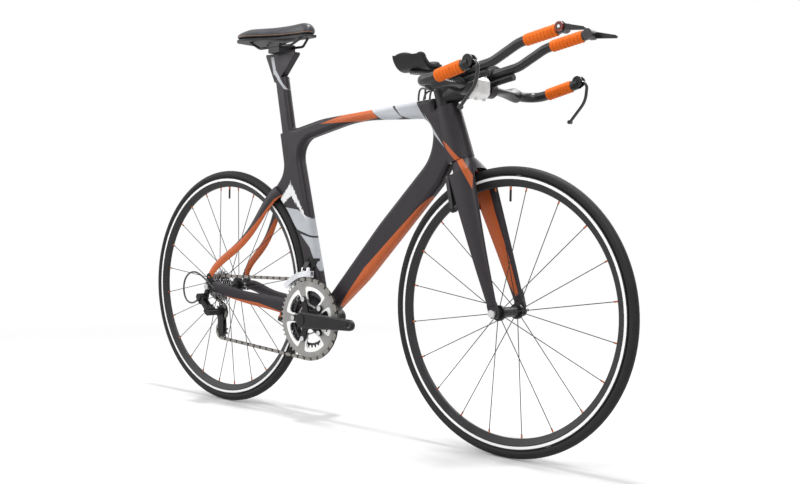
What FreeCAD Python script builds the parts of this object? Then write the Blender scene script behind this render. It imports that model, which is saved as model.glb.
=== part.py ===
import FreeCAD, Part
import math
import os

os.makedirs("parts", exist_ok=True)

V = FreeCAD.Vector
side_axis = V(0, 1, 0)
fore_axis = V(1, 0, 0)
up_axis = V(0, 0, 1)

# Layout of the bike: X forward, Y to the rider's left, Z up, origin on the ground midway between the tyres
wheelbase = 1000.0
tyre_outer_radius = 334.0
bottom_bracket_height = 270.0
chainstay_run = 390.0
head_angle = math.radians(72.5)
fork_offset = 43.0
axle_to_crown = 376.0
head_tube_length = 137.0
seat_angle = math.radians(78)
seat_axis_setback = 31.0
collar_run = 511.0
cut_overrun = 40.0
seat_gap = 0.3
running_gap = 0.05
point_tolerance = 0.0001

# Main frame
frame_half_width = 17.0
frame_edge_round = 12.0
head_barrel_half_width = 24.0
head_barrel_rear = 30.0
head_barrel_nose = 1.5
wheel_gap = 8.0
cutout_low_angle = math.radians(-5)
cutout_high_angle = math.radians(48)
cutout_low_run = 12.0
cutout_high_run = 34.0
seat_tube_rear_depth = 26.0
seat_tube_front_depth = 24.0
seat_tube_flare_drop = 105.0
seat_tube_flare_round = 60.0
seat_tube_blank_rise = 70.0
fin_rise = 32.0
fin_setback = 23.4
fin_corner_round = 4.0
head_front_top = 36.0
head_front_low = 44.0
head_rear_low = 17.0
frame_outer_shares = [
    (-0.1869, 0.9384, 0.0148),
    (0.0000, 0.9837, 0.7773),
]
frame_lower_shares = [
    (0.6689, 0.6552, 0.0833),
    (0.2787, 0.2091, 0.7403),
    (0.0902, 0.0315, 0.3331),
    (0.0328, -0.0592, 0.0518),
    (-0.0525, -0.0592, 0.0518),
]
frame_joint_reach_shares = 5.0
frame_joint_shares = [
    (-0.102, 0.837, 131),
    (0.600, 0.916, 95),
    (0.561, 0.737, -45),
    (0.046, 0.139, 195),
]
frame_inner_shares = [
    (-0.1525, 0.8717, 0.0962),
    (0.2131, 0.9661, 0.9254),
    (0.6377, 0.9550, 0.0851),
    (0.6230, 0.7810, 0.1943),
    (0.3525, 0.4775, 1.2956),
    (0.0328, 0.0777, 0.0444),
]
shell_radius = 27.0
shell_half_width = 36.0
seat_bore_depth = 165.0

# Bearings in the frame
steerer_radius = 14.3
head_bore_radius = 17.0
head_bearing_radius = 20.4
head_bearing_height = 8.0
spindle_radius = 12.0
shell_bore_radius = 18.0
bracket_bearing_radius = 22.0
bracket_bearing_width = 9.0
bracket_lip_radius = 24.0
bracket_lip_width = 3.0

# Bottle bosses and control ports
bottle_share = 0.235
bottle_spacing = 64.0
boss_radius = 5.0
boss_height = 3.0
boss_sink = 9.0
boss_thread_radius = 2.5
port_radius = 2.9
port_depth = 14.0

# Stays and dropouts
stay_tyre_gap = 4.0
seat_stay_run_shares = [0.0, 0.28, 0.60, 0.87, 1.0]
seat_stay_depth_shares = [1.30, 1.0, 0.86, 0.78, 0.66]
seat_stay_offset_shares = [0.26, 0.42, 0.68, 0.90, 1.0]
seat_stay_bow_shares = [0.0, 0.02, 0.30, -0.20, 0.0]
seat_stay_depth = 29.0
seat_stay_width = 13.0
seat_stay_top_x_share = -0.2541
seat_stay_top_z_share = 0.6293
seat_stay_end_rise = 26.0
chain_stay_run_shares = [0.03, 0.20, 0.40, 0.62, 0.86, 0.96]
chain_stay_depth_shares = [1.28, 1.14, 1.0, 0.86, 0.80, 0.72]
chain_stay_offset_shares = [0.33, 0.36, 0.47, 0.69, 0.95, 1.0]
chain_stay_rise_shares = [0.0, 0.26, 0.48, 0.63, 0.93, 1.0]
chain_stay_depth = 40.0
chain_stay_width = 15.0
stay_end_width_share = 0.6
rear_axle_half_width = 65.0
dropout_thickness = 7.0
dropout_radius = 17.0
dropout_reach_share = 1.6
dropout_root_share = 0.8
dropout_front_share = 0.6
dropout_top_share = 0.55
dropout_rise_share = 1.1
dropout_slot_radius = 5.3
stay_offset = 68.5
hanger_radius = 8.5
hanger_hole_radius = 4.0

# Seatpost
post_depth = 44.0
post_width = 26.0
post_insertion = 110.0
post_bore_gap = 0.3
post_top_run = 664.0
head_rise = 68.5
head_half_width = 11.0
head_front_inset = 20.0
head_rear_reach = 57.0
head_front_reach = 57.0
head_round = 6.0
post_screw_radius = 3.2
post_screw_height = 3.0
post_screw_runs_shares = [0.60, 0.80]

# Saddle
saddle_setback = 4.9
saddle_length = 264.0
saddle_rear_share = 0.53
saddle_width = 134.0
saddle_shell_rise = 19.0
saddle_shell_thickness = 6.0
saddle_pad_thickness = 33.0
saddle_station_shares = [0.0, 0.06, 0.20, 0.40, 0.60, 0.82, 0.96, 1.0]
saddle_width_shares = [0.62, 0.90, 1.0, 0.70, 0.42, 0.34, 0.28, 0.20]
saddle_side_shares = [0.30, 0.36, 0.38, 0.42, 0.50, 0.52, 0.46, 0.38]
saddle_crown_shares = [0.66, 0.92, 1.0, 0.93, 0.93, 1.0, 0.92, 0.70]
saddle_shell_inset_share = 0.92
rail_radius = 3.5
rail_half_spacing = 22.0
rail_rise = 17.0
rail_bend = 22.0
rail_rear_reach = 66.0
rail_front_reach = 62.0
rail_rear_end = 100.0
rail_front_end = 98.0
rail_rear_spread = 34.0
rail_front_spread = 9.0
rail_fit = 0.08
clamp_half_length = 22.0
clamp_half_width = 30.0
clamp_low_height = 15.0
clamp_top_height = 9.0
clamp_split = 1.0
clamp_bolt_radius = 2.6
clamp_bolt_head_radius = 4.5
clamp_bolt_head_height = 4.0

# Fork
crown_gap = 1.0
crown_run_shares = [1.0, 0.945, 0.885]
crown_front_shares = [0.0386, 0.060, 0.080]
crown_depth_shares = [0.0811, 0.094, 0.098]
crown_width_shares = [0.0585, 0.098, 0.141]
blade_run_shares = [0.905, 0.60, 0.27, 0.048]
blade_front_shares = [0.0785, 0.0878, 0.103, 0.1130]
blade_depth_shares = [0.0984, 0.0745, 0.050, 0.034]
blade_width_shares = [0.040, 0.0293, 0.020, 0.0140]
blade_side_shares = [0.1000, 0.1223, 0.1390, 0.1436]
fork_tyre_gap = 7.0
fork_tyre_side_gap = 8.0
front_axle_half_width = 50.0
fork_tip_radius = 13.0
fork_face_share = 1.4
steerer_rise = 43.0

# Wheels
tyre_section_radius = 11.5
tyre_wall = 2.4
tyre_hollow_angle = math.radians(50)
rim_outer_radius = 313.5
rim_depth = 26.0
rim_half_width = 10.5
rim_track_height = 11.0
rim_nose_half_width = 4.0
rim_nose_round_share = 0.12
rim_wall = 1.7
spoke_radius = 1.0
spoke_rim_offset = 1.6
nipple_radius = 1.9
nipple_length = 9.0
front_spoke_count = 20
rear_spoke_count = 24
front_flange_offset = 35.0
front_flange_radius = 18.0
rear_left_flange_offset = 37.0
rear_right_flange_offset = 17.0
rear_flange_radius = 23.0
flange_half_thickness = 3.4
front_barrel_radius = 9.5
rear_barrel_radius = 12.5
hub_end_radius = 12.0
axle_radius = 5.0
axle_cap_radius = 8.0
axle_cap_width = 4.0
rear_cross_angle = math.radians(52)
spoke_weave = 2.4
valve_radius = 2.7
valve_length = 34.0
skewer_radius = 2.4
skewer_nut_radius = 8.5
skewer_nut_width = 10.0
skewer_lever_length = 46.0
skewer_lever_radius = 6.0
skewer_lever_thickness = 5.0
skewer_lever_standoff = 4.2
front_lever_angle = math.radians(70)
rear_lever_angle = math.radians(60)

# Drive
chain_pitch = 12.7
chain_links = 106
roller_radius = 3.85
roller_seat_radius = 4.2
tooth_rise = 2.7
tooth_gap_half = 5.6
chain_inner_gap = 2.3
chain_plate_thickness = 0.85
chain_plate_gap = 0.1
chain_plate_radius = 4.1
chain_pin_radius = 1.7
chain_bore_radius = 2.1
roller_sides = 8
pin_sides = 6
plate_corner_turns = [math.radians(turn) for turn in (-90, -30, 30, 90)]
outer_teeth = 52
inner_teeth = 36
sprocket_teeth = [11, 12, 13, 14, 15, 16, 17, 19, 21, 23]
driven_sprocket = 4
first_sprocket_offset = 61.2
sprocket_pitch = 3.95
sprocket_thickness = 1.7
sprocket_bore_radius = 17.4
small_bore_radius = 15.5
freehub_radius = 15.2
freehub_wide_radius = 17.2
lockring_radius = 15.0
lockring_width = 1.4
tooth_thickness = 2.1
ring_thickness = 3.4
inner_ring_step = 7.2
ring_window_low = 42.0
ring_window_high = 76.0
ring_window_round = 9.0
ring_window_crown = 52.0
ring_window_angle = math.radians(25)
ring_window_foot_share = 0.8
ring_window_crown_share = 1.06
ring_arms = 5
ring_hole_radius = 36.0
inner_ring_band = 9.8
bolt_circle_radius = 55.0
ring_bolt_radius = 4.0
ring_bolt_head_radius = 6.5
ring_bolt_head_height = 1.6
ring_tab_radius = 9.0
ring_tab_tip_share = 0.8
spider_arm_root_radius = 11.0
spider_arm_tip_radius = 7.5
spider_thickness = 5.5
crank_length = 172.5
crank_root_radius = 21.0
crank_tip_radius = 14.0
crank_inner_offset = 61.0
crank_thickness = 14.0
crank_edge_round = 4.0
pedal_hole_radius = 7.14
left_inner_offset = 61.0
crank_cap_radius = 13.0
crank_cap_height = 2.0

# Rear derailleur
pulley_teeth = 11
pulley_thickness = 2.0
pulley_bore_radius = 3.0
guide_back = 28.0
guide_drop = 71.0
cage_length = 54.0
cage_plate_thickness = 1.6
cage_plate_gap = 5.0
cage_plate_radius = 11.5
cage_pin_radius = 2.9
link_slope = math.radians(-43.5)
link_length = 32.0
link_end_run = 14.0
link_width = 15.0
link_thickness = 6.0
link_pin_radius = 2.0
link_pin_boss_radius = 4.0
outer_link_offset = 91.0
inner_link_offset = 78.5
ear_thickness = 4.0
ear_radius = 5.2
ear_gap = 0.4
web_thickness = 6.0
web_shift = 3.0
knuckle_radius = 9.5
knuckle_outer_offset = 97.0
hanger_outer_offset = 72.0
barrel_radius = 4.0
barrel_length = 14.0

# Front derailleur
cage_low_rise = 5.6
cage_high_rise = 20.0
cage_front_angle = math.radians(86)
cage_rear_angle = math.radians(138)
cage_window_angle = math.radians(114.5)
cage_window_radius = 37.0
cage_side_gap = 4.6
cage_wall = 1.4
changer_height = 148.0
changer_back = 22.0
changer_body_length = 26.0
changer_body_height = 24.0
changer_link_drop = 15.5
changer_link_out = 8.0
changer_link_length = 16.0
changer_link_radius = 4.5
changer_ear_drop = 6.75
changer_room_width = 18.0
changer_pin_radius = 1.8
changer_pivot_offset = 31.0
changer_screw_radius = 3.0
changer_screw_rise = 8.5
changer_screw_height = 2.5

# Brakes
pad_track_radius = 306.0
pad_gap = 2.0
pad_length = 40.0
pad_height = 10.0
pad_thickness = 9.0
pad_post_radius = 3.5
brake_arm_thickness = 10.0
brake_arm_root_radius = 9.0
brake_collar_share = 0.8
brake_arm_tip_radius = 6.5
brake_stud_radius = 4.0
brake_stud_reach = 8.0
front_brake_pivot_side = 37.0
front_brake_tip_side = 30.0
front_brake_setback = 16.0
front_brake_drop = 36.0
front_brake_reach = 40.0
rear_brake_pivot_side = 25.5
rear_brake_tip_side = 26.0
rear_brake_angle = math.radians(-16)
rear_brake_drop = 36.0
rear_brake_reach = 26.0
noodle_radius = 2.6

# Stem and bars
stem_clamp_radius = 20.5
stem_height = 44.0
stem_root_share = 0.42
stem_seat_gap = 1.0
bar_reach = 94.0
bar_rise = 20.0
stem_half_width = 18.0
stem_bar_radius = 21.0
plate_half_width = 23.0
plate_half_height = 27.0
plate_depth = 26.0
plate_bevel = 12.0
plate_split = 1.0
bar_bolt_head_radius = 4.2
bar_bolt_head_height = 3.0
bar_bolt_side = 16.0
top_cap_radius = 17.5
top_cap_height = 5.0
bar_clamp_radius = 15.9
wing_side_shares = [0.0, 0.16, 0.26, 0.58, 0.84]
wing_depth_shares = [1.0, 1.0, 1.15, 1.30, 0.80]
wing_height_shares = [1.0, 1.0, 0.85, 0.68, 0.76]
bar_half_width = 214.0
horn_radius = 12.0
horn_start_share = 0.80
horn_corner_drop = 6.0
horn_corner_ahead = 6.0
horn_corner_round = 36.0
horn_knee_ahead = 46.0
horn_knee_drop = 3.0
horn_knee_round = 120.0
horn_tip_ahead = 136.0
horn_tip_rise = 19.0
tape_thickness = 2.6
horn_tape_start_share = 0.16
horn_tape_end_share = 0.93
lever_body_length = 22.0
lever_pivot_share = 0.55
lever_plug_share = 0.6
lever_boss_radius = 13.0
lever_boss_half_width = 9.5
lever_boss_rise = 5.0
lever_slot_half_width = 5.4
lever_hub_radius = 8.5
lever_half_width = 5.0
lever_pin_radius = 2.5
lever_tip_radius = 4.8
lever_blade_half_thickness = 3.2
lever_front_reach = 24.0
lever_front_drop = 2.0
lever_belly_reach = 20.0
lever_belly_drop = 48.0
lever_tip_reach = -22.0
lever_tip_drop = 96.0
lever_front_round = 15.0
lever_belly_round = 55.0

# Extensions, shifters and arm rests
extension_radius = 11.1
extension_half_spacing = 52.0
extension_rear_x = 335.0
extension_rear_z = 873.0
extension_bend_x = 478.0
extension_bend_z = 900.0
extension_rise_x = 552.0
extension_rise_z = 937.0
extension_tip_x = 654.0
extension_tip_z = 956.0
extension_round = 90.0
extension_tape_start_share = 0.16
extension_tape_end_share = 0.97
pod_length = 12.0
pod_boss_radius = 12.0
pod_boss_half_width = 11.4
pod_cap_thickness = 5.0
shift_pin_radius = 3.0
shift_hub_radius = 10.5
shift_lever_thickness = 4.6
shift_lever_reach = 58.0
shift_lever_drop = 9.0
shift_lever_root_radius = 8.0
shift_lever_tip_radius = 3.6
rest_clamp_radius = 16.5
rest_clamp_half_length = 17.0
rest_ring_radius = 20.0
rest_ring_half_width = 12.0
rest_stub_radius = 8.5
rest_stub_sink_share = 0.3
rest_stub_length = 74.0
rest_plate_thickness = 5.0
rest_plate_root_radius = 14.0
rest_plate_tip_radius = 20.0
rest_plate_side = 72.0
cup_mid_x = 308.0
cup_length = 88.0
cup_side = 108.0
cup_axis_height = 928.0
cup_radius = 40.0
cup_thickness = 4.0
cup_inner_angle = math.radians(48)
cup_outer_angle = math.radians(78)
pad_soft_thickness = 13.0
pad_soft_inset = 3.0

# Control housings, as routes for the rider's left side
housing_radius = 2.5
housing_round = 18.0
shift_route = [(334, 52, 872.8), (296, 49, 865.6), (262, 24, 868), (246, 9, 862), (246, 9, 833)]
brake_route = [(372, 70, 851), (316, 66, 846), (262, 34, 856), (226, 10, 862), (226, 10, 830)]
rear_route = [
    (-476, -71, 329), (-500, -80, 352), (-545, -86, 388), (-602, -88, 352), (-590, -88, 280),
    (-547, -88, 281), (-529, -88, 294.5),
]
rear_route_round = 14.0

# Points worked out from the layout
rear_axle = V(-wheelbase / 2, 0, tyre_outer_radius)
front_axle = V(wheelbase / 2, 0, tyre_outer_radius)
bottom_bracket = V(rear_axle.x + chainstay_run, 0, bottom_bracket_height)
front_centre = front_axle.x - bottom_bracket.x
steer_up = V(-math.cos(head_angle), 0, math.sin(head_angle))
steer_ahead = V(math.sin(head_angle), 0, math.cos(head_angle))
steer_foot = front_axle - steer_ahead * fork_offset
head_top = axle_to_crown + head_tube_length
post_up = V(-math.cos(seat_angle), 0, math.sin(seat_angle))
post_ahead = V(math.sin(seat_angle), 0, math.cos(seat_angle))
post_foot = bottom_bracket - fore_axis * seat_axis_setback
post_top = post_foot + post_up * post_top_run
head_top_height = post_top.z + head_rise
rail_height = head_top_height + rail_rise
saddle_shell_height = rail_height + saddle_shell_rise
saddle_mid = post_top.x - saddle_setback
frame_stack = (steer_foot + steer_up * head_top).z - bottom_bracket.z
chain_plane = -(first_sprocket_offset - driven_sprocket * sprocket_pitch)
bar_centre = steer_foot + steer_up * (head_top + stem_seat_gap + stem_height / 2)
bar_centre = bar_centre + fore_axis * bar_reach + up_axis * bar_rise
tyre_centre_radius = tyre_outer_radius - tyre_section_radius
front_lever_along = V(-math.cos(front_lever_angle), 0, math.sin(front_lever_angle))
rear_lever_along = V(-math.cos(rear_lever_angle), 0, math.sin(rear_lever_angle))


def steer_point(run, ahead, side=0):
    return steer_foot + steer_up * run + steer_ahead * ahead + side_axis * side


def post_point(run, ahead, side=0):
    return post_foot + post_up * run + post_ahead * ahead + side_axis * side


def frame_point(x_share, z_share):
    return bottom_bracket + fore_axis * (x_share * front_centre) + up_axis * (z_share * frame_stack)


def mirrored(shape):
    return shape.mirror(V(0, 0, 0), side_axis)


def both_sides(shape):
    return [shape, mirrored(shape)]


def save(name, shapes):
    solids = [solid for shape in shapes for solid in shape.Solids]
    Part.makeCompound(solids).exportStep("parts/" + name + ".step")


def rounded_path(points, radii, closed):
    count = len(points)
    stops = []
    for i in range(count):
        here = points[i]
        is_end = not closed and i in (0, count - 1)
        if radii[i] == 0 or is_end:
            stops.append((here, None, here))
            continue
        back = (points[i - 1] - here).normalize()
        ahead = (points[(i + 1) % count] - here).normalize()
        half = back.getAngle(ahead) / 2
        run = radii[i] / math.tan(half)
        middle = (back + ahead).normalize()
        centre = here + middle * (radii[i] / math.sin(half))
        stops.append((here + back * run, centre - middle * radii[i], here + ahead * run))
    edges = []
    for i in range(count):
        start, middle, end = stops[i]
        if middle is not None:
            edges.append(Part.Arc(start, middle, end).toShape())
        following = stops[(i + 1) % count][0]
        has_next = closed or i < count - 1
        if has_next and not following.isEqual(end, point_tolerance):
            edges.append(Part.makeLine(end, following))
    return Part.Wire(edges)


def swept(path, section):
    return path.makePipeShell([section], True, True)


def swept_tube(points, bend, radius):
    path = rounded_path(points, [bend] * len(points), False)
    start = (points[1] - points[0]).normalize()
    return swept(path, Part.Wire(Part.makeCircle(radius, points[0], start)))


def ellipse_wire(centre, along, across, half_along, half_across):
    small = min(half_along, half_across)
    large = max(half_along, half_across)
    curve = Part.Ellipse(V(0, 0, 0), large, small).toShape()
    if half_along < half_across:
        along, across = across, along * -1
    turn = FreeCAD.Rotation(along, across, along.cross(across), "XYZ")
    curve.Placement = FreeCAD.Placement(centre, turn)
    return Part.Wire(curve)


def rod(start, end, radius):
    return Part.makeCylinder(radius, (end - start).Length, start, end - start)


def tube(start, end, outer, inner):
    return rod(start, end, outer).cut(rod(start, end, inner))


def strap(start, end, start_radius, end_radius, normal, thickness):
    normal = V(normal).normalize()
    along = (end - start).normalize()
    across = normal.cross(along)
    lean = math.acos((start_radius - end_radius) / (end - start).Length)
    tilt = along * math.cos(lean)
    rise = across * math.sin(lean)
    a = start + (tilt + rise) * start_radius
    b = end + (tilt + rise) * end_radius
    c = end + (tilt - rise) * end_radius
    d = start + (tilt - rise) * start_radius
    edges = [Part.makeLine(a, b), Part.Arc(b, end + along * end_radius, c).toShape()]
    edges += [Part.makeLine(c, d), Part.Arc(d, start - along * start_radius, a).toShape()]
    body = Part.Face(Part.Wire(edges)).extrude(normal * thickness)
    body.translate(normal * (-thickness / 2))
    return body


def block(centre, along, across, length, width, height):
    upward = along.cross(across)
    body = Part.makeBox(length, width, height, V(-length / 2, -width / 2, -height / 2))
    body.Placement = FreeCAD.Placement(centre, FreeCAD.Rotation(along, across, upward, "XYZ"))
    return body


def polygon_face(points):
    return Part.Face(Part.makePolygon(points + [points[0]]))


def disc(axle, side, half_width, radius):
    return rod(axle + side_axis * (side - half_width), axle + side_axis * (side + half_width), radius)


def at_side(point, side):
    return V(point.x, side, point.z)


def around(centre, radius, angle, side):
    return V(centre.x + radius * math.cos(angle), side, centre.z + radius * math.sin(angle))


# Frame pieces


def frame_slab():
    cutout = tyre_outer_radius + wheel_gap
    low = around(rear_axle, cutout, cutout_low_angle, 0)
    high = around(rear_axle, cutout, cutout_high_angle, 0)
    half = (cutout_high_angle - cutout_low_angle) / 2
    middle = around(rear_axle, cutout / math.cos(half), cutout_low_angle + half, 0)
    low_end = low + (low - middle).normalize() * cutout_low_run
    high_end = high + (high - middle).normalize() * cutout_high_run
    blank_top = collar_run + seat_tube_blank_rise
    corners = [(post_point(blank_top, -seat_tube_rear_depth), 0), (post_point(blank_top,
            seat_tube_front_depth), 0)]
    corners += [(frame_point(x, z), r * frame_stack) for x, z, r in frame_outer_shares]
    corners += [
        (steer_point(head_top + fin_rise, -fin_setback), 0),
        (steer_point(head_top, -fin_setback), fin_corner_round),
        (steer_point(head_top, head_front_top), 0),
        (steer_point(axle_to_crown, head_front_low), 0),
        (steer_point(axle_to_crown, -head_rear_low), 0),
    ]
    corners += [(frame_point(x, z), r * frame_stack) for x, z, r in frame_lower_shares]
    corners += [
        (low_end, 0),
        (middle, cutout),
        (high_end, 0),
        (post_point(collar_run - seat_tube_flare_drop, -seat_tube_rear_depth), seat_tube_flare_round),
    ]
    outer = rounded_path([p for p, r in corners], [r for p, r in corners], True)
    inner_points = [frame_point(x, z) for x, z, r in frame_inner_shares]
    inner = rounded_path(inner_points, [r * frame_stack for x, z, r in frame_inner_shares], True)
    face = Part.Face(outer).cut(Part.Face(inner))
    slab = face.extrude(side_axis * (2 * frame_half_width))
    slab.translate(side_axis * -frame_half_width)
    slab = slab.Solids[0]
    edges = []
    for edge in slab.Edges:
        across = edge.valueAt(edge.FirstParameter).y - edge.valueAt(edge.LastParameter).y
        if abs(across) < point_tolerance:
            edges.append(edge)
    return slab.makeFillet(frame_edge_round, edges)


def head_barrel():
    sections = []
    for run, front in ((axle_to_crown, head_front_low), (head_top, head_front_top)):
        nose = front + head_barrel_nose
        centre = steer_point(run, (nose - head_barrel_rear) / 2)
        half_depth = (nose + head_barrel_rear) / 2
        sections.append(ellipse_wire(centre, steer_ahead, side_axis, half_depth, head_barrel_half_width))
    return Part.makeLoft(sections, True, False)


def seat_bore(gap, low_run, high_run):
    reach = (post_depth - post_width) / 2
    start = post_point((low_run + high_run) / 2, -reach)
    end = post_point((low_run + high_run) / 2, reach)
    radius = post_width / 2 + gap
    return strap(start, end, radius, radius, post_up, high_run - low_run)


def bottle_points():
    low = frame_point(*frame_inner_shares[5][:2])
    high = frame_point(*frame_inner_shares[4][:2])
    along = (high - low).normalize()
    first = low + (high - low) * bottle_share
    upward = V(-along.z, 0, along.x)
    return [(first, upward), (first + along * bottle_spacing, upward)]


def port_points():
    return [V(x, y * sign, z) for x, y, z in (shift_route[-1], brake_route[-1]) for sign in (1, -1)]


def main_frame():
    frame = frame_slab().fuse(head_barrel())
    top = collar_run + seat_tube_blank_rise + cut_overrun
    front = seat_tube_front_depth + seat_gap
    rear = seat_tube_rear_depth + cut_overrun
    middle = post_point((collar_run + top) / 2, (front - rear) / 2)
    depth = front + rear
    frame = frame.cut(block(middle, post_ahead, side_axis, depth, 2 * (frame_half_width + cut_overrun),
                            top - collar_run))
    frame = frame.fuse(disc(bottom_bracket, 0, shell_half_width, shell_radius))
    frame = frame.cut(seat_bore(post_bore_gap, collar_run - seat_bore_depth, top))
    frame = frame.cut(rod(steer_point(axle_to_crown - cut_overrun, 0), steer_point(head_top + cut_overrun,
            0), head_bore_radius))
    pocket = head_bearing_radius + running_gap
    low_top = axle_to_crown + head_bearing_height
    high_low = head_top - head_bearing_height
    frame = frame.cut(rod(steer_point(axle_to_crown - cut_overrun, 0), steer_point(low_top, 0), pocket))
    frame = frame.cut(rod(steer_point(high_low, 0), steer_point(head_top + cut_overrun, 0), pocket))
    frame = frame.cut(disc(bottom_bracket, 0, shell_half_width + cut_overrun, shell_bore_radius))
    for sign in (1, -1):
        mouth = sign * (shell_half_width - bracket_bearing_width / 2)
        pocket_disc = disc(bottom_bracket, mouth + sign * cut_overrun / 2,
                           (bracket_bearing_width + cut_overrun) / 2,
                           bracket_bearing_radius + running_gap)
        frame = frame.cut(pocket_disc)
    for point, upward in bottle_points():
        frame = frame.cut(rod(point - upward * boss_sink, point + upward * cut_overrun,
                              boss_radius + running_gap))
    for point in port_points():
        frame = frame.cut(rod(point, point + up_axis * cut_overrun, port_radius))
    return frame


def frame_tubes(frame):
    joints = [(frame_point(x, z), math.radians(angle)) for x, z, angle in frame_joint_shares]
    reach = frame_stack * frame_joint_reach_shares
    half = shell_half_width + cut_overrun
    pieces = []
    for i in range(len(joints)):
        first, first_angle = joints[i - 1]
        second, second_angle = joints[i]
        first_far = around(first, reach, first_angle, 0)
        second_far = around(second, reach, second_angle, 0)
        corners = [at_side(corner, -half) for corner in (first, first_far, second_far, second)]
        region = polygon_face(corners).extrude(side_axis * (2 * half))
        pieces.append(max(frame.common(region).Solids, key=lambda solid: solid.Volume))
    return pieces


def frame_bearings():
    rings = []
    low = steer_point(axle_to_crown, 0)
    high = steer_point(head_top, 0)
    rings.append(tube(low, low + steer_up * head_bearing_height, head_bearing_radius,
                      steerer_radius + running_gap))
    rings.append(tube(high - steer_up * head_bearing_height, high, head_bearing_radius,
                      steerer_radius + running_gap))
    for sign in (1, -1):
        inner = bottom_bracket + side_axis * (sign * (shell_half_width - bracket_bearing_width))
        outer = bottom_bracket + side_axis * (sign * shell_half_width)
        lip = outer + side_axis * (sign * bracket_lip_width)
        ring = rod(inner, outer, bracket_bearing_radius).fuse(rod(outer, lip, bracket_lip_radius))
        rings.append(ring.cut(rod(inner, lip, spindle_radius + running_gap)))
    return rings


def bottle_bosses():
    bosses = []
    for point, upward in bottle_points():
        low = point - upward * boss_sink
        bosses.append(tube(low, point + upward * boss_height, boss_radius, boss_thread_radius))
    return bosses


def tyre_space(axle, gap, side_gap):
    return disc(axle, 0, tyre_section_radius + side_gap, tyre_outer_radius + gap)


def stay_loft(centres, alongs, depths, widths):
    sections = []
    for centre, along, depth, width in zip(centres, alongs, depths, widths):
        upward = along.cross(side_axis).normalize()
        sections.append(ellipse_wire(centre, upward, side_axis, depth / 2, width / 2))
    return Part.makeLoft(sections, True, False)


def directions(points):
    found = []
    for i in range(len(points)):
        before = points[max(i - 1, 0)]
        after = points[min(i + 1, len(points) - 1)]
        along = after - before
        found.append(V(along.x, 0, along.z).normalize())
    return found


def seat_stays(frame):
    top = frame_point(seat_stay_top_x_share, seat_stay_top_z_share)
    end = rear_axle + up_axis * seat_stay_end_rise
    across = V((end - top).z, 0, -(end - top).x).normalize() * -1
    points = []
    for run, offset, bow in zip(seat_stay_run_shares, seat_stay_offset_shares, seat_stay_bow_shares):
        point = top + (end - top) * run + across * (bow * seat_stay_depth)
        points.append(at_side(point, -offset * stay_offset))
    depths = [share * seat_stay_depth for share in seat_stay_depth_shares]
    widths = [seat_stay_width * (1 - run * (1 - stay_end_width_share)) for run in seat_stay_run_shares]
    stay = stay_loft(points, directions(points), depths, widths)
    stay = stay.cut(frame).cut(tyre_space(rear_axle, stay_tyre_gap, stay_tyre_gap))
    return both_sides(max(stay.Solids, key=lambda solid: solid.Volume))


def chain_stays(frame):
    points = []
    for run, offset, rise in zip(chain_stay_run_shares, chain_stay_offset_shares, chain_stay_rise_shares):
        point = bottom_bracket + fore_axis * (-run * chainstay_run)
        point = point + up_axis * (rise * (rear_axle.z - bottom_bracket.z))
        points.append(at_side(point, -offset * stay_offset))
    depths = [share * chain_stay_depth for share in chain_stay_depth_shares]
    widths = [chain_stay_width * (1 - run * (1 - stay_end_width_share)) for run in chain_stay_run_shares]
    stay = stay_loft(points, directions(points), depths, widths)
    stay = stay.cut(frame).cut(tyre_space(rear_axle, stay_tyre_gap, stay_tyre_gap))
    shell = disc(bottom_bracket, 0, shell_half_width + cut_overrun, bracket_lip_radius + seat_gap)
    stay = stay.cut(shell)
    stay = max(stay.Solids, key=lambda solid: solid.Volume)
    stud = brake_stud(rear_brake_point, -rear_brake_pivot_side, rear_brake_drop, rear_brake_back)
    stay = stay.fuse(stud)
    return [stay.cut(rear_loop(seat_gap)), mirrored(stay)]


def rear_dropouts(stays):
    pieces = []
    middle = rear_axle_half_width + dropout_thickness / 2
    hook = hanger_point()
    root = dropout_radius * dropout_root_share
    for sign in (1, -1):
        axle = at_side(rear_axle, sign * middle)
        plate = disc(rear_axle, sign * middle, dropout_thickness / 2, dropout_radius)
        front = axle + fore_axis * (dropout_radius * dropout_reach_share)
        plate = plate.fuse(strap(axle, front, root, dropout_radius * dropout_front_share, side_axis,
                                 dropout_thickness))
        above = axle + up_axis * (seat_stay_end_rise * dropout_rise_share)
        plate = plate.fuse(strap(axle, above, root, dropout_radius * dropout_top_share, side_axis,
                                 dropout_thickness))
        slot_end = axle - up_axis * cut_overrun
        slot = strap(axle, slot_end, dropout_slot_radius, dropout_slot_radius, side_axis,
                     dropout_thickness + cut_overrun)
        if sign < 0:
            tab = strap(axle, at_side(hook, -middle), dropout_radius * dropout_front_share, hanger_radius,
                        side_axis, dropout_thickness)
            plate = plate.fuse(tab)
            plate = plate.cut(disc(hook, -middle, dropout_thickness, hanger_hole_radius))
        plate = plate.cut(slot)
        for stay in stays:
            plate = plate.cut(stay)
        plate = plate.cut(rear_loop(seat_gap))
        pieces.append(max(plate.Solids, key=lambda solid: solid.Volume))
    return pieces


# Wheels


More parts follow.
